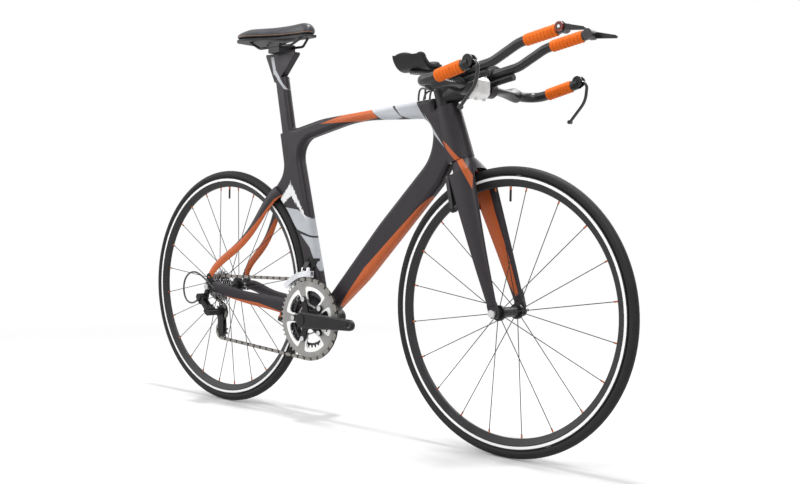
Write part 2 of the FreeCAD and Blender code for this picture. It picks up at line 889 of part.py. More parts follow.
def tyre(axle):
    seat = rim_outer_radius + seat_gap
    drop = tyre_centre_radius - seat
    half = math.sqrt(tyre_section_radius ** 2 - drop ** 2)
    inner_radius = tyre_section_radius - tyre_wall
    inner_half = math.sqrt(inner_radius ** 2 - drop ** 2)
    outer_arc = Part.Arc(V(axle.x, -half, axle.z + seat), V(axle.x, 0, axle.z + tyre_outer_radius),
                         V(axle.x, half, axle.z + seat))
    corner_side = inner_radius * math.cos(tyre_hollow_angle)
    corner_rise = tyre_centre_radius + inner_radius * math.sin(tyre_hollow_angle)
    hollow = [(half, seat), (inner_half, seat), (corner_side, corner_rise)]
    hollow += [(-side, rise) for side, rise in hollow[::-1]]
    walls = Part.makePolygon([V(axle.x, side, axle.z + rise) for side, rise in hollow])
    wire = Part.Wire([outer_arc.toShape()] + walls.Edges)
    return Part.Face(wire).revolve(axle, side_axis, 360)


def rim_profile(axle, inset, nose_round):
    top = rim_outer_radius - inset
    low = rim_outer_radius - rim_depth + inset
    track = rim_outer_radius - rim_track_height
    half = rim_half_width - inset
    nose = rim_nose_half_width - inset / 2
    corners = [(-half, top), (half, top), (half, track), (nose, low), (-nose, low), (-half, track)]
    points = [V(axle.x, y, axle.z + r) for y, r in corners]
    return rounded_path(points, [0, 0, nose_round, nose_round, nose_round, nose_round], True)


def rim(axle):
    solid = Part.Face(rim_profile(axle, 0, rim_depth * rim_nose_round_share)).revolve(axle, side_axis, 360)
    return solid.cut(Part.Face(rim_profile(axle, rim_wall, 0)).revolve(axle, side_axis, 360))


def spoke_pair(axle, hub_angle, hub_radius, hub_side, rim_angle, rim_side):
    start = around(axle, hub_radius, hub_angle, hub_side)
    end = around(axle, rim_outer_radius - rim_depth - seat_gap, rim_angle, rim_side)
    along = (end - start).normalize()
    joint = end - along * nipple_length
    return [rod(start, joint, spoke_radius), rod(joint, end, nipple_radius)]


def front_spokes():
    pieces = []
    for i in range(front_spoke_count):
        sign = 1 if i % 2 else -1
        angle = 2 * math.pi * (i + 0.5) / front_spoke_count
        start = front_flange_radius + seat_gap
        pieces += spoke_pair(front_axle, angle, start, sign * front_flange_offset, angle,
                             sign * spoke_rim_offset)
    return pieces


def rear_spokes():
    pieces = []
    for i in range(rear_spoke_count):
        angle = 2 * math.pi * (i + 0.5) / rear_spoke_count
        start = rear_flange_radius + seat_gap
        if i % 2:
            pieces += spoke_pair(rear_axle, angle, start, rear_left_flange_offset, angle, spoke_rim_offset)
        else:
            lean = 1 if i % 4 else -1
            side = -rear_right_flange_offset + lean * spoke_weave / 2
            pieces += spoke_pair(rear_axle, angle + lean * rear_cross_angle, start, side, angle,
                                 -spoke_rim_offset)
    return pieces


def hub(axle, left_flange, right_flange, flange_radius, barrel, left_end, right_end):
    body = disc(axle, (left_flange - right_flange) / 2, (left_flange + right_flange) / 2, barrel)
    body = body.fuse(disc(axle, left_flange, flange_half_thickness, flange_radius))
    body = body.fuse(disc(axle, -right_flange, flange_half_thickness, flange_radius))
    body = body.fuse(disc(axle, (left_end - right_end) / 2, (left_end + right_end) / 2, hub_end_radius))
    return body.cut(disc(axle, 0, left_end + right_end, axle_radius + running_gap))


def valve(axle):
    top = rim_outer_radius - rim_depth - seat_gap
    return rod(axle + up_axis * (top - valve_length), axle + up_axis * top, valve_radius)


def skewer(axle, half_width, inner_left, inner_right, dropout):
    outer = half_width + dropout
    core = disc(axle, 0, half_width + dropout - seat_gap, axle_radius)
    core = core.fuse(rod(at_side(axle, inner_left + seat_gap), at_side(axle, half_width), axle_cap_radius))
    core = core.fuse(rod(at_side(axle, -inner_right - seat_gap), at_side(axle, -half_width),
                         axle_cap_radius))
    core = core.cut(disc(axle, 0, outer, skewer_radius + running_gap))
    shaft = disc(axle, 0, outer + skewer_nut_width, skewer_radius)
    nut = rod(at_side(axle, -outer), at_side(axle, -outer - skewer_nut_width), skewer_nut_radius)
    cam = rod(at_side(axle, outer), at_side(axle, outer + skewer_nut_width), skewer_nut_radius)
    return [core, shaft.fuse(nut).fuse(cam)]


def skewer_lever(axle, half_width, dropout, along):
    side = half_width + dropout + skewer_nut_width + skewer_lever_standoff
    start = at_side(axle, side)
    end = start + along * skewer_lever_length
    root = skewer_lever_thickness / 2
    arm = strap(start, end, root, skewer_lever_radius, side_axis, skewer_lever_thickness)
    across = along.cross(side_axis) * skewer_lever_radius
    return arm.fuse(rod(start - across, start + across, skewer_lever_standoff - seat_gap))


# Drive


def pitch_radius(teeth):
    return chain_pitch / 2 / math.sin(math.pi / teeth)


def toothed_disc(axle, teeth, phase, side, thickness):
    radius = pitch_radius(teeth)
    tip = radius + tooth_rise
    spread = math.radians(76)
    lean = math.atan2(tooth_gap_half, tip)
    edges = []
    for i in range(teeth):
        angle = phase + 2 * math.pi * i / teeth
        seat = around(axle, radius, angle, 0)
        arc_points = []
        for turn in (-spread, 0, spread):
            arc_points.append(around(seat, roller_seat_radius, angle + math.pi - turn, 0))
        low = around(axle, tip, angle - lean, 0)
        high = around(axle, tip, angle + lean, 0)
        following = around(axle, tip, angle + 2 * math.pi / teeth - lean, 0)
        edges.append(Part.makeLine(low, arc_points[0]))
        edges.append(Part.Arc(*arc_points).toShape())
        edges.append(Part.makeLine(arc_points[2], high))
        edges.append(Part.makeLine(high, following))
    body = Part.Face(Part.Wire(edges)).extrude(side_axis * thickness)
    body.translate(side_axis * (side - thickness / 2))
    return body


def guide_point():
    return rear_axle + fore_axis * guide_back - up_axis * guide_drop


def chain_circles(cage_angle):
    guide = guide_point()
    tension = around(guide, cage_length, cage_angle, 0)
    teeth = [outer_teeth, sprocket_teeth[driven_sprocket], pulley_teeth, pulley_teeth]
    centres = [bottom_bracket, rear_axle, guide, tension]
    senses = [1, 1, -1, 1]
    return list(zip(centres, teeth, senses))


def chain_path(cage_angle):
    circles = chain_circles(cage_angle)
    count = len(circles)
    leaving = []
    arriving = [None] * count
    lengths = []
    for i in range(count):
        centre, teeth, sense = circles[i]
        other, other_teeth, other_sense = circles[(i + 1) % count]
        near = sense * pitch_radius(teeth)
        far = other_sense * pitch_radius(other_teeth)
        gap = other - centre
        span = math.hypot(gap.x, gap.z)
        swing = math.asin((near - far) / span)
        heading = math.atan2(gap.z, gap.x) + swing
        leaving.append(heading - sense * math.pi / 2)
        arriving[(i + 1) % count] = heading - other_sense * math.pi / 2
        lengths.append(span * math.cos(swing))
    pieces = []
    for i in range(count):
        centre, teeth, sense = circles[i]
        sweep = (sense * (leaving[i] - arriving[i])) % (2 * math.pi)
        pieces.append(("arc", i, arriving[i], sweep * teeth / (2 * math.pi)))
        pieces.append(("run", i, leaving[i], lengths[i] / chain_pitch))
    return circles, pieces


def solved_cage_angle():
    low = math.radians(-150)
    high = math.radians(-75)
    for step in range(60):
        middle = (low + high) / 2
        total = sum(piece[3] for piece in chain_path(middle)[1])
        if total > chain_links:
            low = middle
        else:
            high = middle
    return (low + high) / 2


cage_angle = solved_cage_angle()
tension_centre = around(guide_point(), cage_length, cage_angle, 0)


def chain_rollers():
    circles, pieces = chain_path(cage_angle)
    rollers = []
    phases = {}
    for k in range(chain_links):
        left = float(k)
        for kind, i, angle, links in pieces:
            if left < links or (kind, i) == ("run", len(circles) - 1):
                break
            left -= links
        centre, teeth, sense = circles[i]
        if kind == "arc":
            turn = angle + sense * left * 2 * math.pi / teeth
            rollers.append(around(centre, pitch_radius(teeth), turn, chain_plane))
            phases[i] = turn
        else:
            start = around(centre, pitch_radius(teeth), angle, chain_plane)
            heading = angle + sense * math.pi / 2
            rollers.append(around(start, left * chain_pitch, heading, chain_plane))
    return rollers, phases


chain_places, chain_phases = chain_rollers()


def link_plate(start, end, side):
    points = []
    for centre, facing in ((start, math.pi), (end, 0)):
        for turn in plate_corner_turns:
            points.append(around(centre, chain_plate_radius, facing + turn, side - chain_plate_thickness / 2))
    return polygon_face(points).extrude(side_axis * chain_plate_thickness)


def prism(centre, sides, radius, half_width):
    points = [around(centre, radius, 2 * math.pi * i / sides, -half_width) for i in range(sides)]
    return polygon_face(points).extrude(side_axis * (2 * half_width))


def chain():
    half = chain_pitch / 2
    start = fore_axis * -half
    end = fore_axis * half
    inner_side = (chain_inner_gap + chain_plate_thickness) / 2
    outer_side = inner_side + chain_plate_thickness + chain_plate_gap
    inner_parts = []
    outer_parts = []
    for sign in (1, -1):
        inner_parts.append(link_plate(start, end, sign * inner_side))
        outer_parts.append(link_plate(start, end, sign * outer_side))
    for point in (start, end):
        inner_parts.append(prism(point, roller_sides, roller_radius, chain_inner_gap / 2))
        outer_parts.append(prism(point, pin_sides, chain_pin_radius, outer_side))
    inner_link = inner_parts[0].fuse(inner_parts[1:])
    for point in (start, end):
        inner_link = inner_link.cut(prism(point, pin_sides, chain_bore_radius, outer_side))
    outer_link = outer_parts[0].fuse(outer_parts[1:])
    links = []
    for k in range(chain_links):
        first = chain_places[k]
        second = chain_places[(k + 1) % chain_links]
        link = (inner_link if k % 2 else outer_link).copy()
        link.Placement = FreeCAD.Placement((first + second) / 2, FreeCAD.Rotation(fore_axis,
                second - first))
        links.append(link)
    return links


def cassette():
    pieces = []
    for i, teeth in enumerate(sprocket_teeth):
        side = -first_sprocket_offset + i * sprocket_pitch
        phase = chain_phases[1] if i == driven_sprocket else 0
        bore = small_bore_radius if i == 0 else sprocket_bore_radius
        sprocket = toothed_disc(rear_axle, teeth, phase, side, sprocket_thickness)
        sprocket = sprocket.cut(disc(rear_axle, side, sprocket_thickness, bore))
        pieces.append(sprocket)
        if i > 0:
            low = side - sprocket_pitch + sprocket_thickness / 2
            high = side - sprocket_thickness / 2
            ring = tube(at_side(rear_axle, low), at_side(rear_axle, high),
                        sprocket_bore_radius + 2 * lockring_width, sprocket_bore_radius)
            pieces.append(ring)
    end = -first_sprocket_offset - sprocket_thickness / 2
    pieces.append(tube(at_side(rear_axle, end - lockring_width), at_side(rear_axle, end), lockring_radius,
                       axle_cap_radius + seat_gap))
    return pieces


def freehub():
    last = -first_sprocket_offset + (len(sprocket_teeth) - 1) * sprocket_pitch + sprocket_thickness / 2
    split = -first_sprocket_offset + sprocket_thickness / 2
    end = -first_sprocket_offset - sprocket_thickness / 2
    body = rod(at_side(rear_axle, split), at_side(rear_axle, last), freehub_wide_radius)
    body = body.fuse(rod(at_side(rear_axle, end), at_side(rear_axle, split), freehub_radius))
    return body.cut(disc(rear_axle, 0, rear_axle_half_width, axle_cap_radius + seat_gap))


def bolt_points(side):
    return [around(bottom_bracket, bolt_circle_radius, math.pi * (2 * k + 1) / ring_arms,
                   side) for k in range(ring_arms)]


def window_cuts(side):
    cuts = []
    for k in range(ring_arms):
        middle = 2 * math.pi * k / ring_arms
        inner = ring_window_angle * ring_window_foot_share
        corners = [
            around(bottom_bracket, ring_window_low, middle - inner, side),
            around(bottom_bracket, ring_window_high, middle - ring_window_angle, side),
            around(bottom_bracket, ring_window_high * ring_window_crown_share, middle, side),
            around(bottom_bracket, ring_window_high, middle + ring_window_angle, side),
            around(bottom_bracket, ring_window_low, middle + inner, side),
        ]
        radii = [ring_window_round / 2, ring_window_round, ring_window_crown, ring_window_round,
                 ring_window_round / 2]
        face = Part.Face(rounded_path(corners, radii, True))
        cuts.append(face.extrude(side_axis * (ring_thickness * 2)))
    return cuts


def outer_chainring():
    ring = toothed_disc(bottom_bracket, outer_teeth, chain_phases[0], chain_plane, tooth_thickness)
    ring = ring.fuse(disc(bottom_bracket, chain_plane, ring_thickness / 2,
                          pitch_radius(outer_teeth) - chain_plate_radius * 2))
    ring = ring.cut(disc(bottom_bracket, chain_plane, ring_thickness, ring_hole_radius))
    for cut in window_cuts(chain_plane - ring_thickness):
        ring = ring.cut(cut)
    for point in bolt_points(0):
        ring = ring.cut(disc(point, chain_plane, ring_thickness, ring_bolt_radius + running_gap))
    return ring


def inner_chainring():
    side = chain_plane + inner_ring_step
    ring = toothed_disc(bottom_bracket, inner_teeth, 0, side, tooth_thickness)
    hole = disc(bottom_bracket, side, ring_thickness, pitch_radius(inner_teeth) - inner_ring_band)
    ring = ring.cut(hole)
    for point in bolt_points(0):
        outward = (point - at_side(bottom_bracket, 0)).normalize()
        root = at_side(point + outward * ring_tab_radius, side)
        tab = strap(root, at_side(point, side), ring_tab_radius, ring_tab_radius * ring_tab_tip_share,
                    side_axis, tooth_thickness)
        ring = ring.fuse(tab.common(disc(bottom_bracket, side, ring_thickness,
                                         pitch_radius(inner_teeth) - chain_plate_radius)))
    for point in bolt_points(0):
        ring = ring.cut(disc(point, side, ring_thickness, ring_bolt_radius + running_gap))
    return ring


def spider_side():
    return chain_plane - ring_thickness / 2 - spider_thickness / 2


def chainring_bolts():
    bolts = []
    inner_face = chain_plane + inner_ring_step + tooth_thickness / 2
    outer_face = spider_side() - spider_thickness / 2
    ring_face = chain_plane + ring_thickness / 2
    spacer_end = chain_plane + inner_ring_step - tooth_thickness / 2
    for point in bolt_points(0):
        shank = rod(at_side(point, outer_face), at_side(point, inner_face), ring_bolt_radius)
        head = rod(at_side(point, outer_face - ring_bolt_head_height), at_side(point, outer_face),
                   ring_bolt_head_radius)
        nut = rod(at_side(point, inner_face), at_side(point, inner_face + ring_bolt_head_height),
                  ring_bolt_head_radius)
        spacer = rod(at_side(point, ring_face), at_side(point, spacer_end), ring_bolt_head_radius)
        bolts.append(shank.fuse([head, nut, spacer]))
    return bolts


def crank_arm(sign, inner_offset):
    middle = sign * (inner_offset + crank_thickness / 2)
    start = at_side(bottom_bracket, middle)
    end = start + fore_axis * (-sign * crank_length)
    arm = strap(start, end, crank_root_radius, crank_tip_radius, side_axis, crank_thickness)
    arm = arm.makeFillet(crank_edge_round, arm.Edges)
    hole = rod(end - side_axis * crank_thickness, end + side_axis * crank_thickness, pedal_hole_radius)
    return arm.cut(hole)


def right_crank():
    arm = crank_arm(-1, crank_inner_offset)
    middle = spider_side()
    centre = at_side(bottom_bracket, middle)
    for point in bolt_points(middle):
        leg = strap(centre, point, spider_arm_root_radius, spider_arm_tip_radius, side_axis,
                    spider_thickness)
        arm = arm.fuse(leg)
    inner = -(shell_half_width + bracket_lip_width + seat_gap)
    outer = -(crank_inner_offset + crank_thickness / 2)
    arm = arm.fuse(rod(at_side(bottom_bracket, inner), at_side(bottom_bracket, outer), crank_root_radius))
    for point in bolt_points(0):
        arm = arm.cut(disc(point, middle, spider_thickness, ring_bolt_radius + running_gap))
    face = -(crank_inner_offset + crank_thickness)
    cap = rod(at_side(bottom_bracket, face), at_side(bottom_bracket, face - crank_cap_height),
              crank_cap_radius)
    return arm.fuse(cap)


def crank_spindle():
    right_end = -(shell_half_width + bracket_lip_width + seat_gap)
    left_end = left_inner_offset + crank_thickness
    return rod(at_side(bottom_bracket, right_end), at_side(bottom_bracket, left_end), spindle_radius)


def left_crank():
    arm = crank_arm(1, left_inner_offset)
    inner = shell_half_width + bracket_lip_width + seat_gap
    arm = arm.fuse(rod(at_side(bottom_bracket, inner), at_side(bottom_bracket, left_inner_offset),
                       crank_root_radius))
    return arm.cut(disc(bottom_bracket, 0, left_inner_offset + crank_thickness + cut_overrun,
                        spindle_radius + running_gap))


# Rear derailleur

link_along = V(math.cos(link_slope), 0, math.sin(link_slope))
link_axis = V(-math.sin(link_slope), 0, math.cos(link_slope))


def knuckle_point():
    return guide_point() - link_along * link_end_run


def base_point():
    return knuckle_point() - link_along * link_length


def hanger_point():
    return base_point() - link_along * link_end_run


def derailleur_link(side):
    base = at_side(base_point(), -side)
    tip = at_side(knuckle_point(), -side)
    plate = block((base + tip) / 2, link_along, side_axis, link_length, link_thickness, link_width)
    for point in (base, tip):
        start = point - link_axis * (link_width / 2)
        plate = plate.fuse(rod(start, start + link_axis * link_width, link_pin_boss_radius))
    for point in (base, tip):
        start = point - link_axis * link_width
        plate = plate.cut(rod(start, start + link_axis * (2 * link_width), link_pin_radius + running_gap))
    return plate


def link_ears(point, web_sign):
    outer = at_side(point, -outer_link_offset)
    inner = at_side(point, -inner_link_offset)
    reach = link_width / 2 + ear_gap + ear_thickness / 2
    web_run = (link_end_run + web_shift) / 2
    web = at_side(point, -(outer_link_offset + inner_link_offset) / 2) + link_along * (web_sign * web_run)
    span = outer_link_offset - inner_link_offset + 2 * ear_radius
    body = block(web, link_along, side_axis, web_thickness, span, 2 * reach + ear_thickness)
    for sign in (1, -1):
        offset = link_axis * (sign * reach)
        body = body.fuse(strap(outer + offset, inner + offset, ear_radius, ear_radius, link_axis,
                               ear_thickness))
        root = web + offset
        bridge = block((root + at_side(point, web.y) + offset) / 2, link_along, side_axis, link_end_run,
                       span - ear_radius, ear_thickness)
        body = body.fuse(bridge)
    for pin in (outer, inner):
        body = body.fuse(rod(pin - link_axis * reach, pin + link_axis * reach, link_pin_radius))
    return body


def rear_derailleur_body():
    body = link_ears(base_point(), -1)
    hook = hanger_point()
    boss = rod(at_side(hook, -hanger_outer_offset - seat_gap), at_side(hook, -knuckle_outer_offset),
               knuckle_radius)
    bolt = rod(at_side(hook, -rear_axle_half_width), at_side(hook, -hanger_outer_offset - seat_gap),
               hanger_hole_radius - running_gap)
    last = V(*rear_route[-1])
    barrel = rod(last, last + (hook - at_side(last, 0)).normalize() * barrel_length, barrel_radius)
    return body.fuse([boss, bolt, barrel]).cut(rear_loop(seat_gap))


def derailleur_knuckle():
    body = link_ears(knuckle_point(), 1)
    guide = guide_point()
    near = chain_plane - cage_plate_gap - cage_plate_thickness - seat_gap
    boss = rod(at_side(guide, near), at_side(guide, -knuckle_outer_offset), knuckle_radius)
    return body.fuse(boss).cut(rod(at_side(guide, 0), at_side(guide, -knuckle_outer_offset - cut_overrun),
                                   cage_pin_radius + running_gap))


def derailleur_cage():
    pieces = []
    guide = guide_point()
    for sign in (1, -1):
        side = chain_plane + sign * (cage_plate_gap + cage_plate_thickness / 2)
        plate = strap(at_side(guide, side), at_side(tension_centre, side), cage_plate_radius,
                      cage_plate_radius, side_axis, cage_plate_thickness)
        pieces.append(plate)
    inner = chain_plane + cage_plate_gap + cage_plate_thickness
    outer = chain_plane - cage_plate_gap - cage_plate_thickness
    pivot = rod(at_side(guide, inner), at_side(guide, -knuckle_outer_offset), cage_pin_radius)
    screw = rod(at_side(tension_centre, inner), at_side(tension_centre, outer), cage_pin_radius)
    return pieces[0].fuse([pieces[1], pivot, screw])


def pulley(centre, phase):
    wheel = toothed_disc(centre, pulley_teeth, phase, chain_plane, pulley_thickness)
    hub_half = cage_plate_gap - seat_gap
    wheel = wheel.fuse(disc(centre, chain_plane, hub_half, cage_pin_radius * 2))
    return wheel.cut(disc(centre, chain_plane, hub_half + cut_overrun, cage_pin_radius + running_gap))


# Front derailleur


def ring_sector(low, high, side, thickness):
    corners = [around(bottom_bracket, low, cage_front_angle, side), around(bottom_bracket, low,
            cage_rear_angle, side)]
    corners += [around(bottom_bracket, high, cage_rear_angle, side), around(bottom_bracket, high,
            cage_front_angle, side)]
    middle = (cage_front_angle + cage_rear_angle) / 2
    edges = [
        Part.Arc(corners[0], around(bottom_bracket, low, middle, side), corners[1]).toShape(),
        Part.makeLine(corners[1], corners[2]),
        Part.Arc(corners[2], around(bottom_bracket, high, middle, side), corners[3]).toShape(),
        Part.makeLine(corners[3], corners[0]),
    ]
    body = Part.Face(Part.Wire(edges)).extrude(side_axis * thickness)
    body.translate(side_axis * (-thickness / 2))
    return body


def changer_pivot():
    return bottom_bracket + V(-changer_back, -changer_pivot_offset, changer_height)


def changer_tip():
    return changer_pivot() + V(0, -changer_link_out, -changer_link_drop)


def front_derailleur_body(frame):
    pivot = changer_pivot()
    centre = V(pivot.x, pivot.y / 2, pivot.z)
    body = block(centre, fore_axis, side_axis, changer_body_length, abs(pivot.y), changer_body_height)
    body = body.cut(frame)
    body = max(body.Solids, key=lambda solid: solid.Volume if solid.CenterOfMass.y < centre.y else 0)
    slot = rod(pivot - fore_axis * (changer_link_length / 2 + seat_gap),
               pivot + fore_axis * (changer_link_length / 2 + seat_gap),
               changer_link_radius + seat_gap)
    swing = block(pivot + V(0, -changer_link_out / 2, -changer_link_drop / 2), fore_axis, side_axis,
                  changer_link_length + 2 * seat_gap, changer_room_width, changer_link_drop)
    body = body.cut(slot).cut(swing)
    body = max(body.Solids, key=lambda solid: solid.Volume)
    half = changer_body_length / 2
    pin = rod(pivot - fore_axis * half, pivot + fore_axis * half, changer_pin_radius)
    screw = rod(centre + V(0, centre.y, 0), centre + V(0, centre.y - changer_screw_height, 0),
                changer_screw_radius)
    screw.translate(up_axis * changer_screw_rise)
    return body.fuse(pin).fuse(screw)


def front_derailleur_link():
    pivot = changer_pivot()
    tip = changer_tip()
    link = strap(pivot, tip, changer_link_radius, changer_link_radius, fore_axis, changer_link_length)
    for point in (pivot, tip):
        link = link.cut(rod(point - fore_axis * changer_link_length,
                            point + fore_axis * changer_link_length,
                            changer_pin_radius + running_gap))
    return link


def front_derailleur_cage():
    tip_radius = pitch_radius(outer_teeth) + tooth_rise
    low = tip_radius + cage_low_rise
    high = tip_radius + cage_high_rise
    outer_side = chain_plane - cage_side_gap - cage_wall / 2
    inner_side = chain_plane + cage_side_gap + cage_wall / 2
    cage = ring_sector(low, high, outer_side, cage_wall)
    inner = ring_sector(low - cage_low_rise / 2, high, inner_side, cage_wall)
    roof = ring_sector(high - cage_wall, high, chain_plane, 2 * cage_side_gap + 2 * cage_wall)
    roof = roof.cut(ring_roof_gap())
    tip = changer_tip()
    half = changer_link_length / 2 + seat_gap
    pieces = [inner, roof]
    for sign in (1, -1):
        ear_x = sign * (half + cage_wall)
        ear = strap(tip + fore_axis * ear_x, at_side(tip, inner_side) + V(ear_x, 0, -changer_ear_drop),
                    changer_link_radius, changer_link_radius, fore_axis, 2 * cage_wall)
        pieces.append(ear)
    pin = rod(tip - fore_axis * (half + cage_wall), tip + fore_axis * (half + cage_wall),
              changer_pin_radius)
    pieces.append(pin)
    return cage.fuse(pieces)


def ring_roof_gap():
    high = pitch_radius(outer_teeth) + tooth_rise + cage_high_rise
    start = around(bottom_bracket, high, cage_window_angle, chain_plane)
    return disc(start, 0, cage_side_gap, cage_window_radius)


# Brakes


def front_brake_point(run, side):
    reach = math.sqrt(pad_track_radius ** 2 - (fork_offset + front_brake_setback) ** 2)
    return steer_point(reach + run, -front_brake_setback, side)


def rear_brake_point(run, side):
    return around(rear_axle, pad_track_radius + run, rear_brake_angle, side)


front_brake_along = steer_up
front_brake_back = steer_ahead * -1
rear_brake_along = V(math.cos(rear_brake_angle), 0, math.sin(rear_brake_angle))
rear_brake_back = V(math.sin(rear_brake_angle), 0, -math.cos(rear_brake_angle))


def brake_stud(place, side, drop, back):
    pivot = place(-drop, side)
    start = pivot - back * (brake_arm_thickness / 2 + brake_stud_reach * 2)
    collar = pivot - back * (brake_arm_thickness / 2 + seat_gap)
    stud = rod(start, pivot + back * (brake_arm_thickness / 2), brake_stud_radius)
    return stud.fuse(rod(start, collar, brake_arm_root_radius * brake_collar_share))


def brake_arm(place, sign, pivot_side, tip_side, drop, reach, along, back):
    pivot = place(-drop, sign * pivot_side)
    tip = place(reach, sign * tip_side)
    arm = strap(pivot, tip, brake_arm_root_radius, brake_arm_tip_radius, back, brake_arm_thickness)
    arm = arm.cut(rod(pivot - back * brake_arm_thickness, pivot + back * brake_arm_thickness,
                      brake_stud_radius + running_gap))
    share = drop / (drop + reach)
    arm_side = pivot_side + (tip_side - pivot_side) * share
    inner = rim_half_width + pad_gap
    middle = place(0, sign * (inner + pad_thickness / 2))
    pad = block(middle, back, side_axis, pad_length, pad_thickness, pad_height)
    post = rod(place(0, sign * (inner + pad_thickness / 2)), place(0, sign * arm_side), pad_post_radius)
    anchor = rod(tip - back * brake_arm_thickness, tip + back * brake_arm_thickness, noodle_radius)
    return arm.fuse([post, anchor]).fuse(pad)


# Front end


def fork():
    crown_top = axle_to_crown - crown_gap
    sections = []
    for run, ahead, depth, width in zip(crown_run_shares, crown_front_shares, crown_depth_shares,
                                        crown_width_shares):
        centre = steer_point(run * crown_top, ahead * axle_to_crown)
        sections.append(ellipse_wire(centre, steer_ahead, side_axis, depth * axle_to_crown,
                                     width * axle_to_crown))
    body = Part.makeLoft(sections, True, False)
    sections = []
    rows = zip(blade_run_shares, blade_front_shares, blade_depth_shares, blade_width_shares,
               blade_side_shares)
    for run, ahead, depth, width, side in rows:
        centre = steer_point(run * axle_to_crown, ahead * axle_to_crown, -side * axle_to_crown)
        sections.append(ellipse_wire(centre, steer_ahead, side_axis, depth * axle_to_crown,
                                     width * axle_to_crown))
    blade = Part.makeLoft(sections, True, False)
    middle = -(front_axle_half_width + dropout_thickness / 2)
    tip = disc(front_axle, middle, dropout_thickness / 2, fork_tip_radius)
    last = steer_point(blade_run_shares[-1] * axle_to_crown, blade_front_shares[-1] * axle_to_crown)
    tip = tip.fuse(strap(at_side(front_axle, middle), at_side(last, middle), fork_tip_radius,
                         fork_tip_radius, side_axis, dropout_thickness))
    slot_end = at_side(front_axle, middle) - up_axis * cut_overrun
    slot = strap(at_side(front_axle, middle), slot_end, dropout_slot_radius, dropout_slot_radius,
                 side_axis, dropout_thickness + cut_overrun)
    inside = disc(front_axle, 0, front_axle_half_width, fork_tip_radius * 2)
    outside = disc(front_axle, middle - dropout_thickness / 2 - cut_overrun, cut_overrun,
                   fork_tip_radius * fork_face_share)
    blade = blade.fuse(tip).cut(inside).cut(outside).cut(slot)
    blade = max(blade.Solids, key=lambda solid: solid.Volume)
    stud = brake_stud(front_brake_point, -front_brake_pivot_side, front_brake_drop, front_brake_back)
    blade = blade.fuse(stud)
    body = body.fuse([blade, mirrored(blade)])
    body = body.cut(tyre_space(front_axle, fork_tyre_gap, fork_tyre_side_gap))
    steerer = rod(steer_point(crown_run_shares[1] * crown_top, 0), steer_point(head_top + steerer_rise, 0),
                  steerer_radius)
    return max(body.fuse(steerer).Solids, key=lambda solid: solid.Volume)


def stem(bar):
    low = steer_point(head_top + stem_seat_gap, 0)
    high = low + steer_up * stem_height
    body = rod(low, high, stem_clamp_radius)
    middle = (low + high) / 2
    along = (bar_centre - middle).normalize()
    upward = along.cross(side_axis)
    rear = ellipse_wire(middle, upward, side_axis, stem_height * stem_root_share, stem_half_width)
    front = ellipse_wire(bar_centre - along * plate_split, upward, side_axis, stem_bar_radius,
                         stem_half_width)
    body = body.fuse(Part.makeLoft([rear, front], True, False))
    body = body.fuse(disc(bar_centre, 0, plate_half_width, stem_bar_radius))
    half = block(bar_centre + fore_axis * (cut_overrun - plate_split), fore_axis, side_axis,
                 2 * cut_overrun,
                 2 * (plate_half_width + cut_overrun), 2 * (plate_half_height + cut_overrun))
    nose = head_front_top + head_barrel_nose + stem_seat_gap
    body = body.cut(half).cut(rod(low - steer_up * stem_height, low, nose))
    body = body.cut(rod(low, low + steer_up * (stem_height * 2), steerer_radius + running_gap)).cut(bar)
    return max(body.Solids, key=lambda solid: solid.Volume)


def stem_face_plate(bar):
    left = bar_centre.x + plate_split
    right = bar_centre.x + plate_depth
    low = bar_centre.z - plate_half_height
    high = bar_centre.z + plate_half_height
    corners = [V(left, 0, low), V(right - plate_bevel, 0, low), V(right, 0, low + plate_bevel)]
    corners += [V(right, 0, high - plate_bevel), V(right - plate_bevel, 0, high), V(left, 0, high)]
    for corner in corners:
        corner.y = -plate_half_width
    plate = polygon_face(corners).extrude(side_axis * (2 * plate_half_width))
    return plate.cut(bar)


def stem_fasteners():
    pieces = []
    right = bar_centre.x + plate_depth - plate_bevel
    for sign in (1, -1):
        for rise in (1, -1):
            start = V(right, sign * bar_bolt_side, bar_centre.z + rise * (plate_half_height + seat_gap))
            pieces.append(rod(start, start + up_axis * (rise * bar_bolt_head_height), bar_bolt_head_radius))
    cap = steer_point(head_top + stem_seat_gap + stem_height + seat_gap, 0)
    pieces.append(rod(cap, cap + steer_up * top_cap_height, top_cap_radius))
    return pieces


def horn_points():
    start = bar_centre + side_axis * (-horn_start_share * bar_half_width) - up_axis * (horn_corner_drop / 2)
    corner = bar_centre + V(horn_corner_ahead, -bar_half_width, -horn_corner_drop)
    knee = bar_centre + V(horn_knee_ahead, -bar_half_width, -horn_knee_drop)
    tip = bar_centre + V(horn_tip_ahead, -bar_half_width, horn_tip_rise)
    return [start, corner, knee, tip]


def base_bar():
    sections = []
    stations = [-share for share in wing_side_shares[:0:-1]] + wing_side_shares
    depths = wing_depth_shares[:0:-1] + wing_depth_shares
    heights = wing_height_shares[:0:-1] + wing_height_shares
    for side, depth, height in zip(stations, depths, heights):
        drop = horn_corner_drop * abs(side) / 2
        centre = bar_centre + side_axis * (side * bar_half_width) - up_axis * drop
        sections.append(ellipse_wire(centre, fore_axis, up_axis, bar_clamp_radius * depth,
                                     bar_clamp_radius * height))
    wing = Part.makeLoft(sections, True, False)
    points = horn_points()
    path = rounded_path(points, [0, horn_corner_round, horn_knee_round, 0], False)
    start = (points[1] - points[0]).normalize()
    horn = swept(path, Part.Wire(Part.makeCircle(horn_radius, points[0], start)))
    bar = wing.fuse([horn, mirrored(horn)])
    for sign in (1, -1):
        bar = bar.cut(housing(brake_route, sign, seat_gap))
    return bar


def sleeve(start, end, start_share, end_share, radius):
    first = start + (end - start) * start_share
    last = start + (end - start) * end_share
    return tube(first, last, radius + tape_thickness, radius + running_gap)


